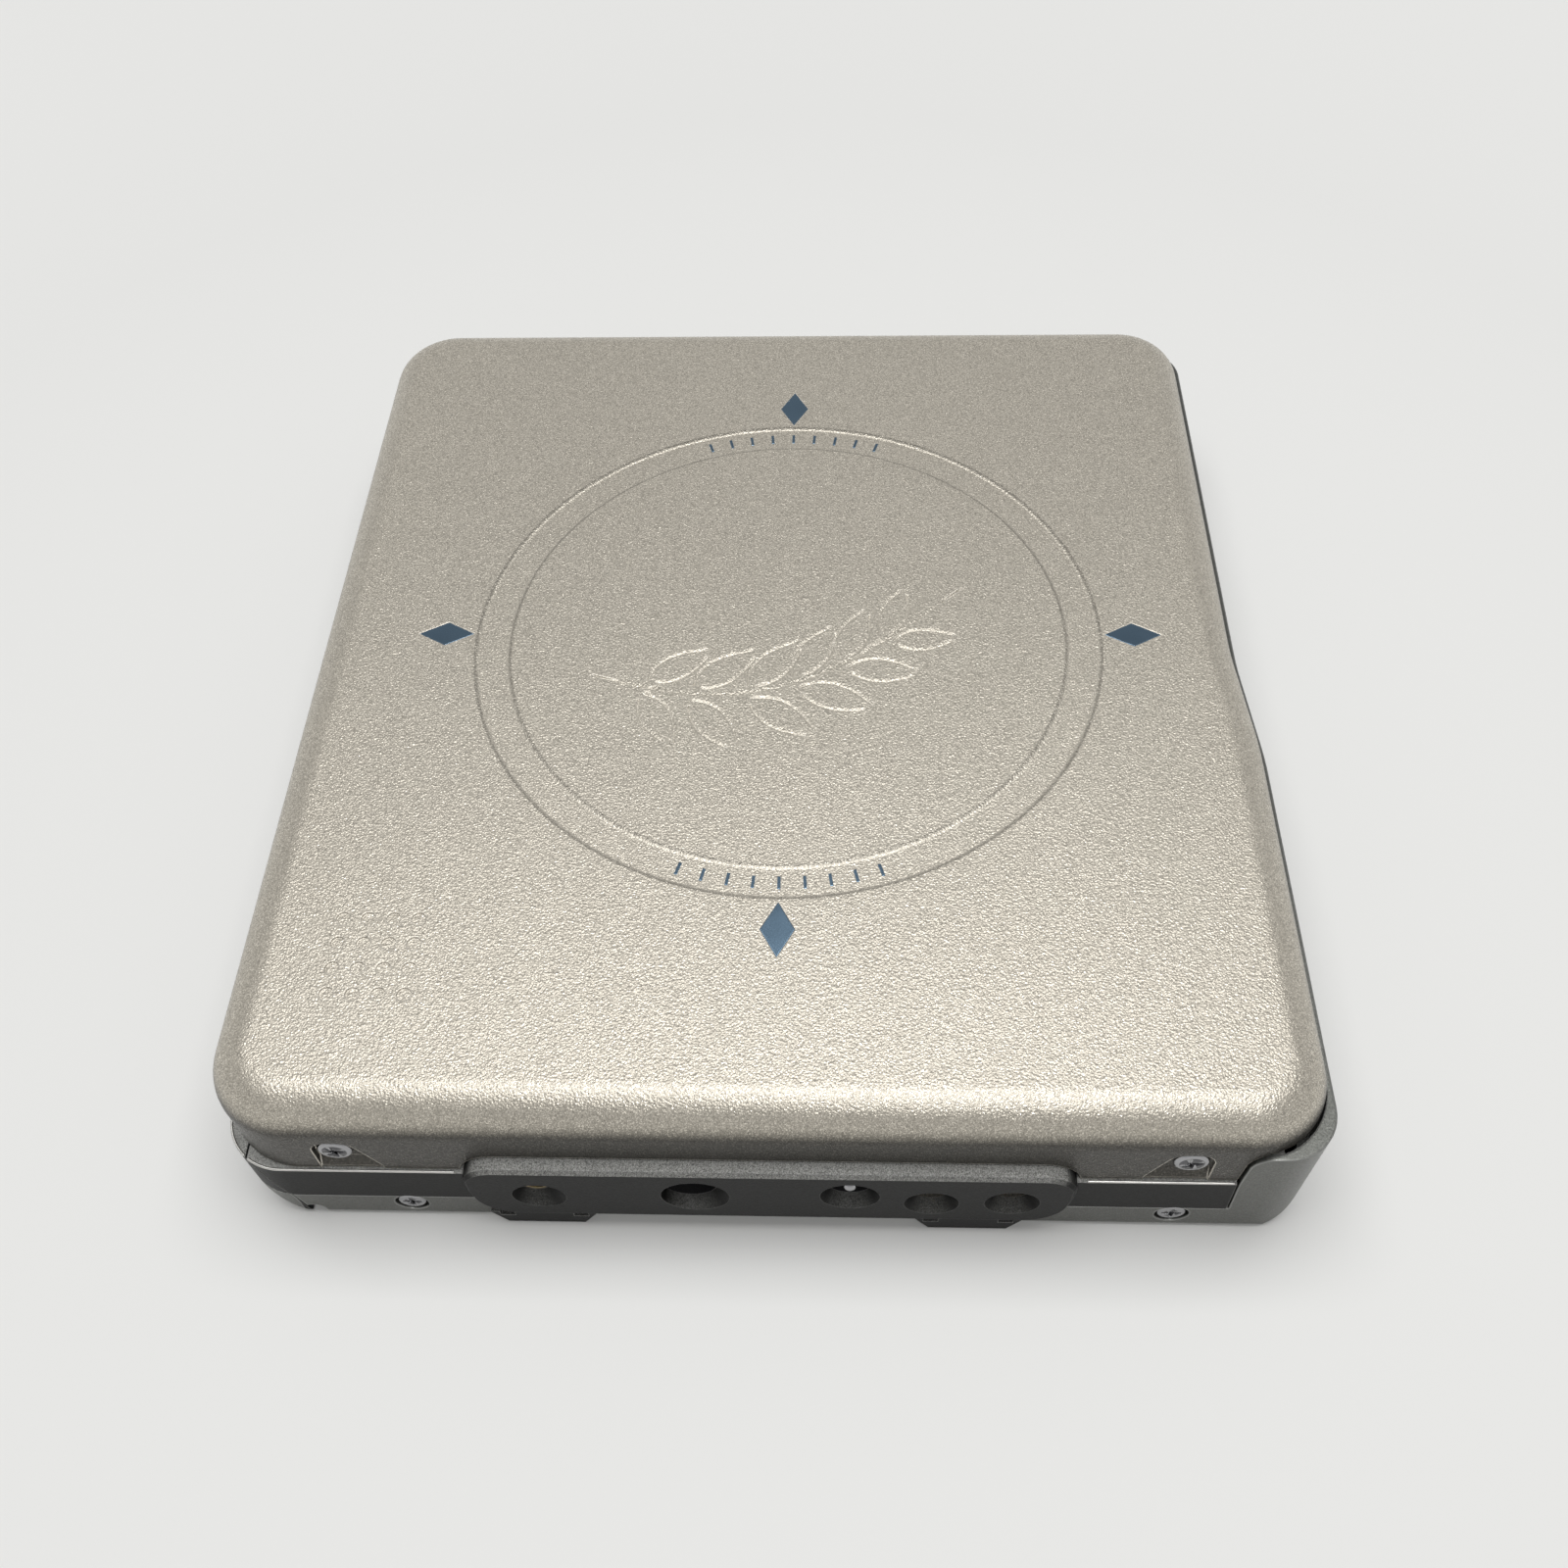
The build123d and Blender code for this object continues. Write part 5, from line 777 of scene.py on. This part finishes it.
def screw_tree():
    """Puts a screw head on every point, facing along the point's own direction."""
    tree, given, out = open_tree("Screw heads", [("Head", "NodeSocketObject", None),
                                                  ("Head Radius", "NodeSocketFloat", 1.12 * MM),
                                                  ("Material", "NodeSocketMaterial", None)])
    head = put(tree, "GeometryNodeObjectInfo", None, {"Object": given["Head"]})
    facing = put(tree, "GeometryNodeInputNamedAttribute", {"data_type": "FLOAT_VECTOR"}, {"Name": "facing"})
    turn = put(tree, "FunctionNodeAlignRotationToVector", {"axis": "Z"}, {"Vector": facing.outputs[0]})
    spun = put(tree, "FunctionNodeRotateRotation", {"rotation_space": "LOCAL"},
               {0: turn.outputs[0], 1: (0.0, 0.0, 0.35)})
    size = put(tree, "ShaderNodeCombineXYZ", None, {"X": given["Head Radius"], "Y": given["Head Radius"],
                                                     "Z": given["Head Radius"]})
    on = put(tree, "GeometryNodeInstanceOnPoints", None,
             {"Points": given["Geometry"], "Instance": head.outputs["Geometry"],
              "Rotation": spun.outputs[0], "Scale": size.outputs[0]})
    return close_tree(tree, given, out, on.outputs[0])


def seats(places):
    """A mesh of single points, each with the direction it faces."""
    mesh = bpy.data.meshes.new("seats")
    mesh.from_pydata([p for p, d in places], [], [])
    facing = mesh.attributes.new("facing", "FLOAT_VECTOR", "POINT")
    for i, (p, d) in enumerate(places):
        facing.data[i].vector = d
    return mesh


def centres(node):
    """The middle of every loose solid of a node, with its own box."""
    mesh = cad_copy(node)
    work = bmesh.new()
    work.from_mesh(mesh)
    left = set(work.verts)
    found = []
    while left:
        stack = [left.pop()]
        group_ = list(stack)
        while stack:
            for edge in stack.pop().link_edges:
                for vert in edge.verts:
                    if vert in left:
                        left.remove(vert)
                        stack.append(vert)
                        group_.append(vert)
        low = Vector([min(v.co[i] for v in group_) for i in range(3)])
        high = Vector([max(v.co[i] for v in group_) for i in range(3)])
        found.append((low, high))
    work.free()
    return found


class PLAYER_OT_screws(bpy.types.Operator):
    """Puts cross-head screws in the lid, the case and the deck"""
    bl_idname = "player.screws"
    bl_label = "Screws"

    def execute(self, context):
        sizes = context.scene.player_sizes
        head = holder_of("screw_head", screw_head_mesh())
        tree = screw_tree()
        for name, node, body in (("lid_screw_heads", "lid_screws", "lid"),
                                 ("case_screw_heads", "body_screws", "chassis")):
            places = []
            for low, high in centres(node):
                side = 1 if low.y > 0 else -1
                seat = high.y - 0.4 * MM if side > 0 else low.y + 0.4 * MM
                places.append((((low.x + high.x) / 2, seat, (low.z + high.z) / 2), (0, side, 0)))
            grown(name, seats(places), tree, body, "screw_steel",
                  **{"Head": head, "Head Radius": sizes.case_screw_radius * (1 if body == "lid" else 0.9)})
        places = []
        for low, high in centres("deck_screws"):
            places.append((((low.x + high.x) / 2, (low.y + high.y) / 2, high.z - 0.4 * MM), (0, 0, 1)))
        grown("deck_screw_heads", seats(places), tree, "chassis", "screw_steel",
              **{"Head": head, "Head Radius": 1.12 * MM})
        bpy.data.objects.remove(head)
        return {"FINISHED"}


def tick_tree():
    """Short radial bars along two arcs of a circle."""
    tree, given, out = open_tree("Ring ticks", [("Radius", "NodeSocketFloat", 22.45 * MM),
                                                 ("Length", "NodeSocketFloat", 1.0 * MM),
                                                 ("Width", "NodeSocketFloat", 0.22 * MM),
                                                 ("Height", "NodeSocketFloat", 0.06 * MM),
                                                 ("Count", "NodeSocketInt", 9),
                                                 ("Step", "NodeSocketFloat", 0.09),
                                                 ("Start", "NodeSocketFloat", 0.0),
                                                 ("Centre", "NodeSocketVector", (0, 0, 0)),
                                                 ("Material", "NodeSocketMaterial", None)])
    row = put(tree, "GeometryNodeMeshLine", None, {"Count": given["Count"], "Offset": (0.0, 0.0, 0.0)})
    index = put(tree, "GeometryNodeInputIndex").outputs[0]
    angle = sums(tree, "ADD", given["Start"], sums(tree, "MULTIPLY", index, given["Step"]))
    spot = put(tree, "ShaderNodeCombineXYZ", None,
               {"X": sums(tree, "MULTIPLY", sums(tree, "COSINE", angle), given["Radius"]),
                "Y": sums(tree, "MULTIPLY", sums(tree, "SINE", angle), given["Radius"])})
    centre = put(tree, "ShaderNodeVectorMath", {"operation": "ADD"}, {0: spot.outputs[0], 1: given["Centre"]})
    moved = put(tree, "GeometryNodeSetPosition", None, {"Geometry": row.outputs[0], "Position": centre.outputs[0]})
    size = put(tree, "ShaderNodeCombineXYZ", None,
               {"X": given["Length"], "Y": given["Width"], "Z": given["Height"]})
    bar = put(tree, "GeometryNodeMeshCube", None, {"Size": size.outputs[0]})
    turn = put(tree, "ShaderNodeCombineXYZ", None, {"Z": angle})
    on = put(tree, "GeometryNodeInstanceOnPoints", None,
             {"Points": moved.outputs[0], "Instance": bar.outputs[0], "Rotation": turn.outputs[0]})
    return close_tree(tree, given, out, on.outputs[0])


class PLAYER_OT_ring_marks(bpy.types.Operator):
    """Lays two arcs of short marks in the lid's sunk ring"""
    bl_idname = "player.ring_marks"
    bl_label = "Ring marks"

    def execute(self, context):
        sizes = context.scene.player_sizes
        tree = tick_tree()
        step = math.radians(4.5)
        for name, middle in (("ring_marks_near", -90), ("ring_marks_far", 90)):
            start = math.radians(middle) - step * (sizes.tick_count - 1) / 2
            mesh = bpy.data.meshes.new("ring")
            grown(name, mesh, tree, "lid", "mirror_inlay",
                  **{"Length": sizes.tick_length, "Width": sizes.tick_width, "Count": sizes.tick_count,
                     "Step": step, "Start": start, "Height": 0.05 * MM,
                     "Centre": (*RING_CENTRE, TOP - 0.15 * MM)})
        return {"FINISHED"}


# ---- bright lines -------------------------------------------------------------------------
def bead_tree():
    """A thin round bead along every open line, with closed ends."""
    tree, given, out = open_tree("Bead", [("Radius", "NodeSocketFloat", 0.1 * MM),
                                          ("Material", "NodeSocketMaterial", None)])
    path = put(tree, "GeometryNodeMeshToCurve", None, {"Mesh": given["Geometry"]})
    circle = put(tree, "GeometryNodeCurvePrimitiveCircle", {"mode": "RADIUS"},
                 {"Resolution": 8, "Radius": given["Radius"]})
    swept = put(tree, "GeometryNodeCurveToMesh", None,
                {"Curve": path.outputs[0], "Profile Curve": circle.outputs[0], "Fill Caps": True})
    return close_tree(tree, given, out, swept.outputs[0])


def polylines(name, lines):
    """A mesh of open lines, each given by its points in millimetres."""
    verts, links = [], []
    for line in lines:
        start = len(verts)
        verts += [tuple(v * MM for v in point) for point in line]
        links += [(start + i, start + i + 1) for i in range(len(line) - 1)]
    mesh = bpy.data.meshes.new(name)
    mesh.from_pydata(verts, links, [])
    return mesh


def rim_line(side, start, end, height, inset=0.1):
    """Points along the case's near or far rim between two X places, round the opening side's corner."""
    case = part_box("battery_door")
    corner = 4.2 - inset
    front, far = case[0].x / MM + inset, case[1].y / MM - inset
    turn = front + corner
    points = [(start, side * far, height)] if start > turn else []
    first = math.acos(min(1.0, max(0.0, (turn - start) / corner))) if start < turn else math.pi / 2
    last = math.acos(min(1.0, max(0.0, (turn - end) / corner))) if end < turn else math.pi / 2
    for i in range(17):
        angle = first + (last - first) * i / 16
        points.append((turn - corner * math.cos(angle), side * (far - corner + corner * math.sin(angle)), height))
    return points if end < turn else points + [(end, side * far, height)]


class PLAYER_OT_bright_lines(bpy.types.Operator):
    """Runs fine bright beads along the band, the door and its skin, as painted highlights on their edges"""
    bl_idname = "player.bright_lines"
    bl_label = "Bright lines"

    def execute(self, context):
        radius = context.scene.player_sizes.highlight_bead_width / 3
        tree = bead_tree()
        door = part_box("battery_door")
        front, top = door[0].x / MM, door[1].z / MM
        band = [rim_line(1, -34.05, 29.9, top), rim_line(-1, -34.05, -20.3, top),
                [(20.6, -39.35, top), (29.9, -39.35, top)]]
        grown("band_line", polylines("band_line", band), tree, "chassis", "trim_silver", Radius=radius)
        lines = []
        for height, reach, end in ((top, front + 0.1, -34.35), (3.24, -34.72, -32.35)):
            halves = [rim_line(side, reach, end, height) for side in (-1, 1)]
            lines.append(list(reversed(halves[0])) + halves[1])
        grown("door_lines", polylines("door_lines", lines), tree, "door", "trim_silver", Radius=radius)
        return {"FINISHED"}


# ---- key symbols --------------------------------------------------------------------------
def arrow_head(u, v, size, side):
    """A triangle that points to the given side."""
    return [(u, v - size), (u + side * size * 1.25, v), (u, v + size)]


def slab(u, v, half_u, half_v):
    """A small rectangle about a point."""
    return [(u - half_u, v - half_v), (u + half_u, v - half_v), (u + half_u, v + half_v), (u - half_u, v + half_v)]


def symbols(name, body, place, outlines):
    """Raised symbols drawn in millimetres on a key's face, laid there by place."""
    work = bmesh.new()
    for outline in outlines:
        prism(work, outline, -0.03, 0.04)
    for vert in work.verts:
        vert.co = place(vert.co * MM)
    bmesh.ops.recalc_face_normals(work, faces=work.faces)
    mesh = bpy.data.meshes.new(name)
    work.to_mesh(mesh)
    work.free()
    piece(name, mesh, body, "dark_moulding")


class PLAYER_OT_key_symbols(bpy.types.Operator):
    """Draws the track, play and volume symbols on their keys"""
    bl_idname = "player.key_symbols"
    bl_label = "Key symbols"

    def execute(self, context):
        low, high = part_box("track_rocker")
        middle, level, face = (low.y + high.y) / 2, 7.6 * MM, high.x
        shapes = []
        for side in (-1, 1):
            shapes += [arrow_head(side * 2.3, 0, 0.42, side), arrow_head(side * 2.85, 0, 0.42, side),
                       slab(side * 3.5, 0, 0.07, 0.42)]
        symbols("track_symbols", "rocker",
                lambda p, m=middle, f=face: Vector((f + p.z, m + p.x, level + p.y)), shapes)
        low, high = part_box("play_key")
        middle, face = (low.y + high.y) / 2, high.x
        shapes = [arrow_head(-0.75, 0, 0.5, 1), slab(0.35, 0, 0.09, 0.48), slab(0.75, 0, 0.09, 0.48)]
        symbols("play_symbols", "play",
                lambda p, m=middle, f=face: Vector((f + p.z, m + p.x, level + p.y)), shapes)
        low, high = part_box("volume_rocker")
        middle, level2, face = (low.x + high.x) / 2, 5.25 * MM, high.y
        shapes = [slab(-3.2, 0, 0.5, 0.09), slab(3.2, 0, 0.5, 0.09), slab(3.2, 0.295, 0.09, 0.2),
                  slab(3.2, -0.295, 0.09, 0.2)]
        symbols("volume_symbols", "volume",
                lambda p, m=middle, f=face: Vector((m + p.x, f + p.z, level2 + p.y)), shapes)
        return {"FINISHED"}


# ---- circuit board ------------------------------------------------------------------------
def tiny_part_mesh():
    """A small board part of unit length on z = 0: a body between two end caps."""
    work = bmesh.new()
    for u0, u1, wide, tall in ((-0.32, 0.32, 0.24, 0.4), (-0.5, -0.32, 0.27, 0.44), (0.32, 0.5, 0.27, 0.44)):
        prism(work, [(u0, -wide), (u1, -wide), (u1, wide), (u0, wide)], 0, tall)
    bmesh.ops.recalc_face_normals(work, faces=work.faces)
    mesh = bpy.data.meshes.new("tiny_part")
    work.to_mesh(mesh)
    work.free()
    return mesh


def free_spots(count, seed, margin):
    """Seeded places on the main board that nothing else stands on."""
    pick = random.Random(seed)
    low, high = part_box("main_board")
    blocks = []
    for row in frame["record"]["subparts"]:
        node = row["node"]
        if node in ("main_board", "bottom_cover", "mid_frame", "battery", "lid_cover"):
            continue
        a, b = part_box(node)
        if a.z < high.z + 0.7 * MM and b.z > high.z and (b - a).length < 24 * MM:
            blocks.append((a, b))
    mesh = frame["nodes"]["main_board"].data
    tree = BVHTree.FromPolygons([v.co for v in mesh.vertices], [list(p.vertices) for p in mesh.polygons])
    spots = []
    for _ in range(count * 12):
        x, y = pick.uniform(low.x + margin, high.x - margin), pick.uniform(low.y + margin, high.y - margin)
        if any(a.x - margin < x < b.x + margin and a.y - margin < y < b.y + margin for a, b in blocks):
            continue
        if any(abs(x - u) < 1.5 * MM and abs(y - v) < 1.2 * MM for u, v in spots):
            continue
        if all(tree.ray_cast(Vector((x + i, y + j, high.z + MM)), Vector((0, 0, -1)), 1.3 * MM)[0]
               for i in (-0.8 * MM, 0.8 * MM) for j in (-0.8 * MM, 0.8 * MM)):
            spots.append((x, y))
        if len(spots) == count:
            break
    return [(x, y, high.z) for x, y in spots]


def part_tree():
    """Small parts on points, each turned by a seeded quarter turn and slightly scaled."""
    tree, given, out = open_tree("Board parts", [("Part", "NodeSocketObject", None),
                                                  ("Size", "NodeSocketFloat", 1.2 * MM),
                                                  ("Seed", "NodeSocketInt", 4),
                                                  ("Material", "NodeSocketMaterial", None)])
    part = put(tree, "GeometryNodeObjectInfo", None, {"Object": given["Part"]})
    turn = put(tree, "FunctionNodeRandomValue", {"data_type": "INT"}, {"Seed": given["Seed"]})
    turn.inputs[4].default_value, turn.inputs[5].default_value = 0, 3
    angle = sums(tree, "MULTIPLY", turn.outputs[2], math.pi / 2)
    grow = put(tree, "FunctionNodeRandomValue", {"data_type": "FLOAT"}, {"Seed": given["Seed"]})
    grow.inputs[2].default_value, grow.inputs[3].default_value = 0.75, 1.15
    scale = sums(tree, "MULTIPLY", grow.outputs[1], given["Size"])
    on = put(tree, "GeometryNodeInstanceOnPoints", None,
             {"Points": given["Geometry"], "Instance": part.outputs["Geometry"],
              "Rotation": put(tree, "ShaderNodeCombineXYZ", None, {"Z": angle}).outputs[0],
              "Scale": put(tree, "ShaderNodeCombineXYZ", None,
                           {"X": scale, "Y": scale, "Z": scale}).outputs[0]})
    return close_tree(tree, given, out, on.outputs[0])


class PLAYER_OT_board_parts(bpy.types.Operator):
    """Sets the small resistors and capacitors on the circuit board"""
    bl_idname = "player.board_parts"
    bl_label = "Board parts"

    def execute(self, context):
        sizes = context.scene.player_sizes
        part = holder_of("tiny_part", tiny_part_mesh())
        tree = part_tree()
        spots = free_spots(90, sizes.part_seed, 1.2 * MM)
        if len(spots) < 20:
            raise RuntimeError("the board has no room for its small parts")
        for name, rows, slot, size in (("board_resistors", spots[0::2], "chip_black", 1.1 * MM),
                                       ("board_capacitors", spots[1::2], "capacitor_tan", 1.3 * MM)):
            mesh = bpy.data.meshes.new(name)
            mesh.from_pydata(rows, [], [])
            grown(name, mesh, tree, "chassis", slot, **{"Part": part, "Size": size, "Seed": sizes.part_seed})
        bpy.data.objects.remove(part)
        return {"FINISHED"}


# ---- the plain nodes ----------------------------------------------------------------------
class PLAYER_OT_finishes(bpy.types.Operator):
    """Gives every carried-over solid its finish"""
    bl_idname = "player.finishes"
    bl_label = "Finishes"

    def execute(self, context):
        made = finishes()
        for row in frame["record"]["subparts"]:
            mesh = frame["nodes"][row["node"]].data
            mesh.materials.clear()
            mesh.materials.append(made[row["material_slot"]])
        key = cad_copy("volume_rocker")
        low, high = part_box("volume_rocker")
        for vert in key.vertices:
            if (abs(vert.co.x - (low.x + high.x) / 2) > 4.6 * MM
                    and 0.8 * MM < vert.co.y - low.y < 0.9 * MM):
                vert.co.y -= 0.07 * MM
        smooth_by_angle(key, 30)
        slot = [row["material_slot"] for row in frame["record"]["subparts"] if row["node"] == "volume_rocker"]
        piece("volume_key", key, "volume", slot[0], "volume_rocker")
        return {"FINISHED"}


# ---- stage --------------------------------------------------------------------------------
def seen_rays(tree):
    """1 for the rays that show the background: from the camera, off gloss and through glass."""
    path = put(tree, "ShaderNodeLightPath").outputs
    seen = sums(tree, "MAXIMUM", path["Is Camera Ray"], path["Is Transmission Ray"])
    return sums(tree, "MAXIMUM", seen, path["Is Glossy Ray"])


def backdrop_material(colour):
    """A plain pale floor that keeps the object's shadow."""
    material, tree, shader = start_material("Backdrop")
    tone = placed(tree, "tone", scale=3.0, amount=0.02)
    tree.links.new(blend_colour(tree, 1.0, (*colour, 1), tone["Factor"], "MULTIPLY"),
                   shader.inputs["Base Color"])
    away = put(tree, "ShaderNodeVectorMath", {"operation": "LENGTH"},
               {0: put(tree, "ShaderNodeTexCoord").outputs["Object"]})
    fade = put(tree, "ShaderNodeMapRange", None,
               {"Value": away.outputs["Value"], "From Min": 0.1, "From Max": 0.7})
    shown = sums(tree, "MULTIPLY", fade.outputs[0], seen_rays(tree))
    glow = (*(c * 0.74 for c in colour), 1)
    tree.links.new(blend_colour(tree, shown, (0, 0, 0, 1), glow), shader.inputs["Emission Color"])
    set_shader(shader, Roughness=0.9, Emission_Strength=1.0, Specular_IOR_Level=0.0)
    return material


def place_camera():
    """The camera at the photograph's viewing angle."""
    data = bpy.data.cameras.new("camera")
    data.sensor_fit = "HORIZONTAL"
    data.sensor_width = 36.0
    data.lens = 36.0 * 1550 / 1600
    data.clip_start, data.clip_end = 0.01, 20.0
    camera = bpy.data.objects.new("camera", data)
    bpy.context.scene.collection.objects.link(camera)
    yaw, pitch, roll = math.radians(-3.52), math.radians(53.39), math.radians(-2.53)
    ahead = Vector((math.sin(yaw) * math.cos(pitch), math.cos(yaw) * math.cos(pitch), -math.sin(pitch)))
    right = ahead.cross(Vector((0, 0, 1))).normalized()
    up = right.cross(ahead)
    side = right * math.cos(roll) + up * math.sin(roll)
    top = up * math.cos(roll) - right * math.sin(roll)
    turn = Matrix((side, top, -ahead)).transposed()
    camera.matrix_world = Matrix.Translation((0.0046, -0.0773, 0.1010)) @ turn.to_4x4()
    bpy.context.scene.camera = camera


def soft_lamp(name, place, aim, size, power):
    """An area lamp of that width and depth that looks at a point."""
    data = bpy.data.lights.new(name, "AREA")
    data.shape = "RECTANGLE"
    data.size, data.size_y = size
    data.energy = power
    lamp = bpy.data.objects.new(name, data)
    bpy.context.scene.collection.objects.link(lamp)
    lamp.location = place
    lamp.rotation_mode = "QUATERNION"
    lamp.rotation_quaternion = (Vector(aim) - Vector(place)).to_track_quat("-Z", "Y")
    return lamp


class PLAYER_OT_stage(bpy.types.Operator):
    """Sets the floor, the light and the camera"""
    bl_idname = "player.stage"
    bl_label = "Stage"

    def execute(self, context):
        stage = context.scene.player_stage
        mesh = bpy.data.meshes.new("floor")
        far = 6.0
        mesh.from_pydata([(-far, -far, 0), (far, -far, 0), (far, far, 0), (-far, far, 0)], [],
                         [(0, 1, 2, 3)])
        mesh.materials.append(backdrop_material(stage.floor[:]))
        floor = holder_of("floor", mesh)
        soft_lamp("overhead", (0.0, 0.03, 0.5), (0, 0, 0), (0.5, 0.34), stage.overhead)
        soft_lamp("front", (0.08, -0.34, 0.62), (0, 0, 0), (0.1, 0.1), stage.front)
        world = bpy.data.worlds.new("sky")
        world.use_nodes = True
        tree = world.node_tree
        tree.nodes.clear()
        seen = seen_rays(tree)
        up = put(tree, "ShaderNodeSeparateXYZ", None, {0: put(tree, "ShaderNodeTexCoord").outputs["Generated"]})
        pale = put(tree, "ShaderNodeMapRange", None,
                   {"Value": up.outputs["Z"], "From Min": 0.0, "From Max": 0.75, "To Min": 0.75, "To Max": 0.32})
        lit = put(tree, "ShaderNodeBackground", None, {"Color": (1, 1, 1, 1), "Strength": stage.fill})
        shown = put(tree, "ShaderNodeBackground", None, {"Color": pale.outputs[0], "Strength": 1.0})
        both = put(tree, "ShaderNodeMixShader", None, {0: seen, 1: lit.outputs[0], 2: shown.outputs[0]})
        out = put(tree, "ShaderNodeOutputWorld", None, {"Surface": both.outputs[0]})
        context.scene.world = world
        context.scene.view_settings.view_transform = "Standard"
        place_camera()
        return {"FINISHED"}


class PLAYER_PT_panel(bpy.types.Panel):
    bl_idname = "PLAYER_PT_panel"
    bl_label = "Player"
    bl_space_type = "VIEW_3D"
    bl_region_type = "UI"
    bl_category = "Player"

    def draw(self, context):
        scene = context.scene
        for settings in (scene.player_sizes, scene.player_colours, scene.player_stage):
            box = self.layout.box()
            for key in settings.__annotations__:
                box.prop(settings, key)
        for step in STEPS:
            self.layout.operator(step.bl_idname)


STEPS = (
    PLAYER_OT_finishes,
    PLAYER_OT_lid_shell,
    PLAYER_OT_screws,
    PLAYER_OT_ring_marks,
    PLAYER_OT_bright_lines,
    PLAYER_OT_key_symbols,
    PLAYER_OT_board_parts,
    PLAYER_OT_stage,
)
CLASSES = (PlayerSizes, PlayerColours, PlayerStage) + STEPS + (PLAYER_PT_panel,)


def register():
    for made in CLASSES:
        bpy.utils.register_class(made)
    bpy.types.Scene.player_sizes = bpy.props.PointerProperty(type=PlayerSizes)
    bpy.types.Scene.player_colours = bpy.props.PointerProperty(type=PlayerColours)
    bpy.types.Scene.player_stage = bpy.props.PointerProperty(type=PlayerStage)


def unregister():
    del bpy.types.Scene.player_stage
    del bpy.types.Scene.player_colours
    del bpy.types.Scene.player_sizes
    for made in reversed(CLASSES):
        bpy.utils.unregister_class(made)


def main():
    """Builds the pieces in order."""
    register()
    for step in STEPS:
        group_, name = step.bl_idname.split(".")
        getattr(getattr(bpy.ops, group_), name)()


if __name__ == "__main__":
    main()
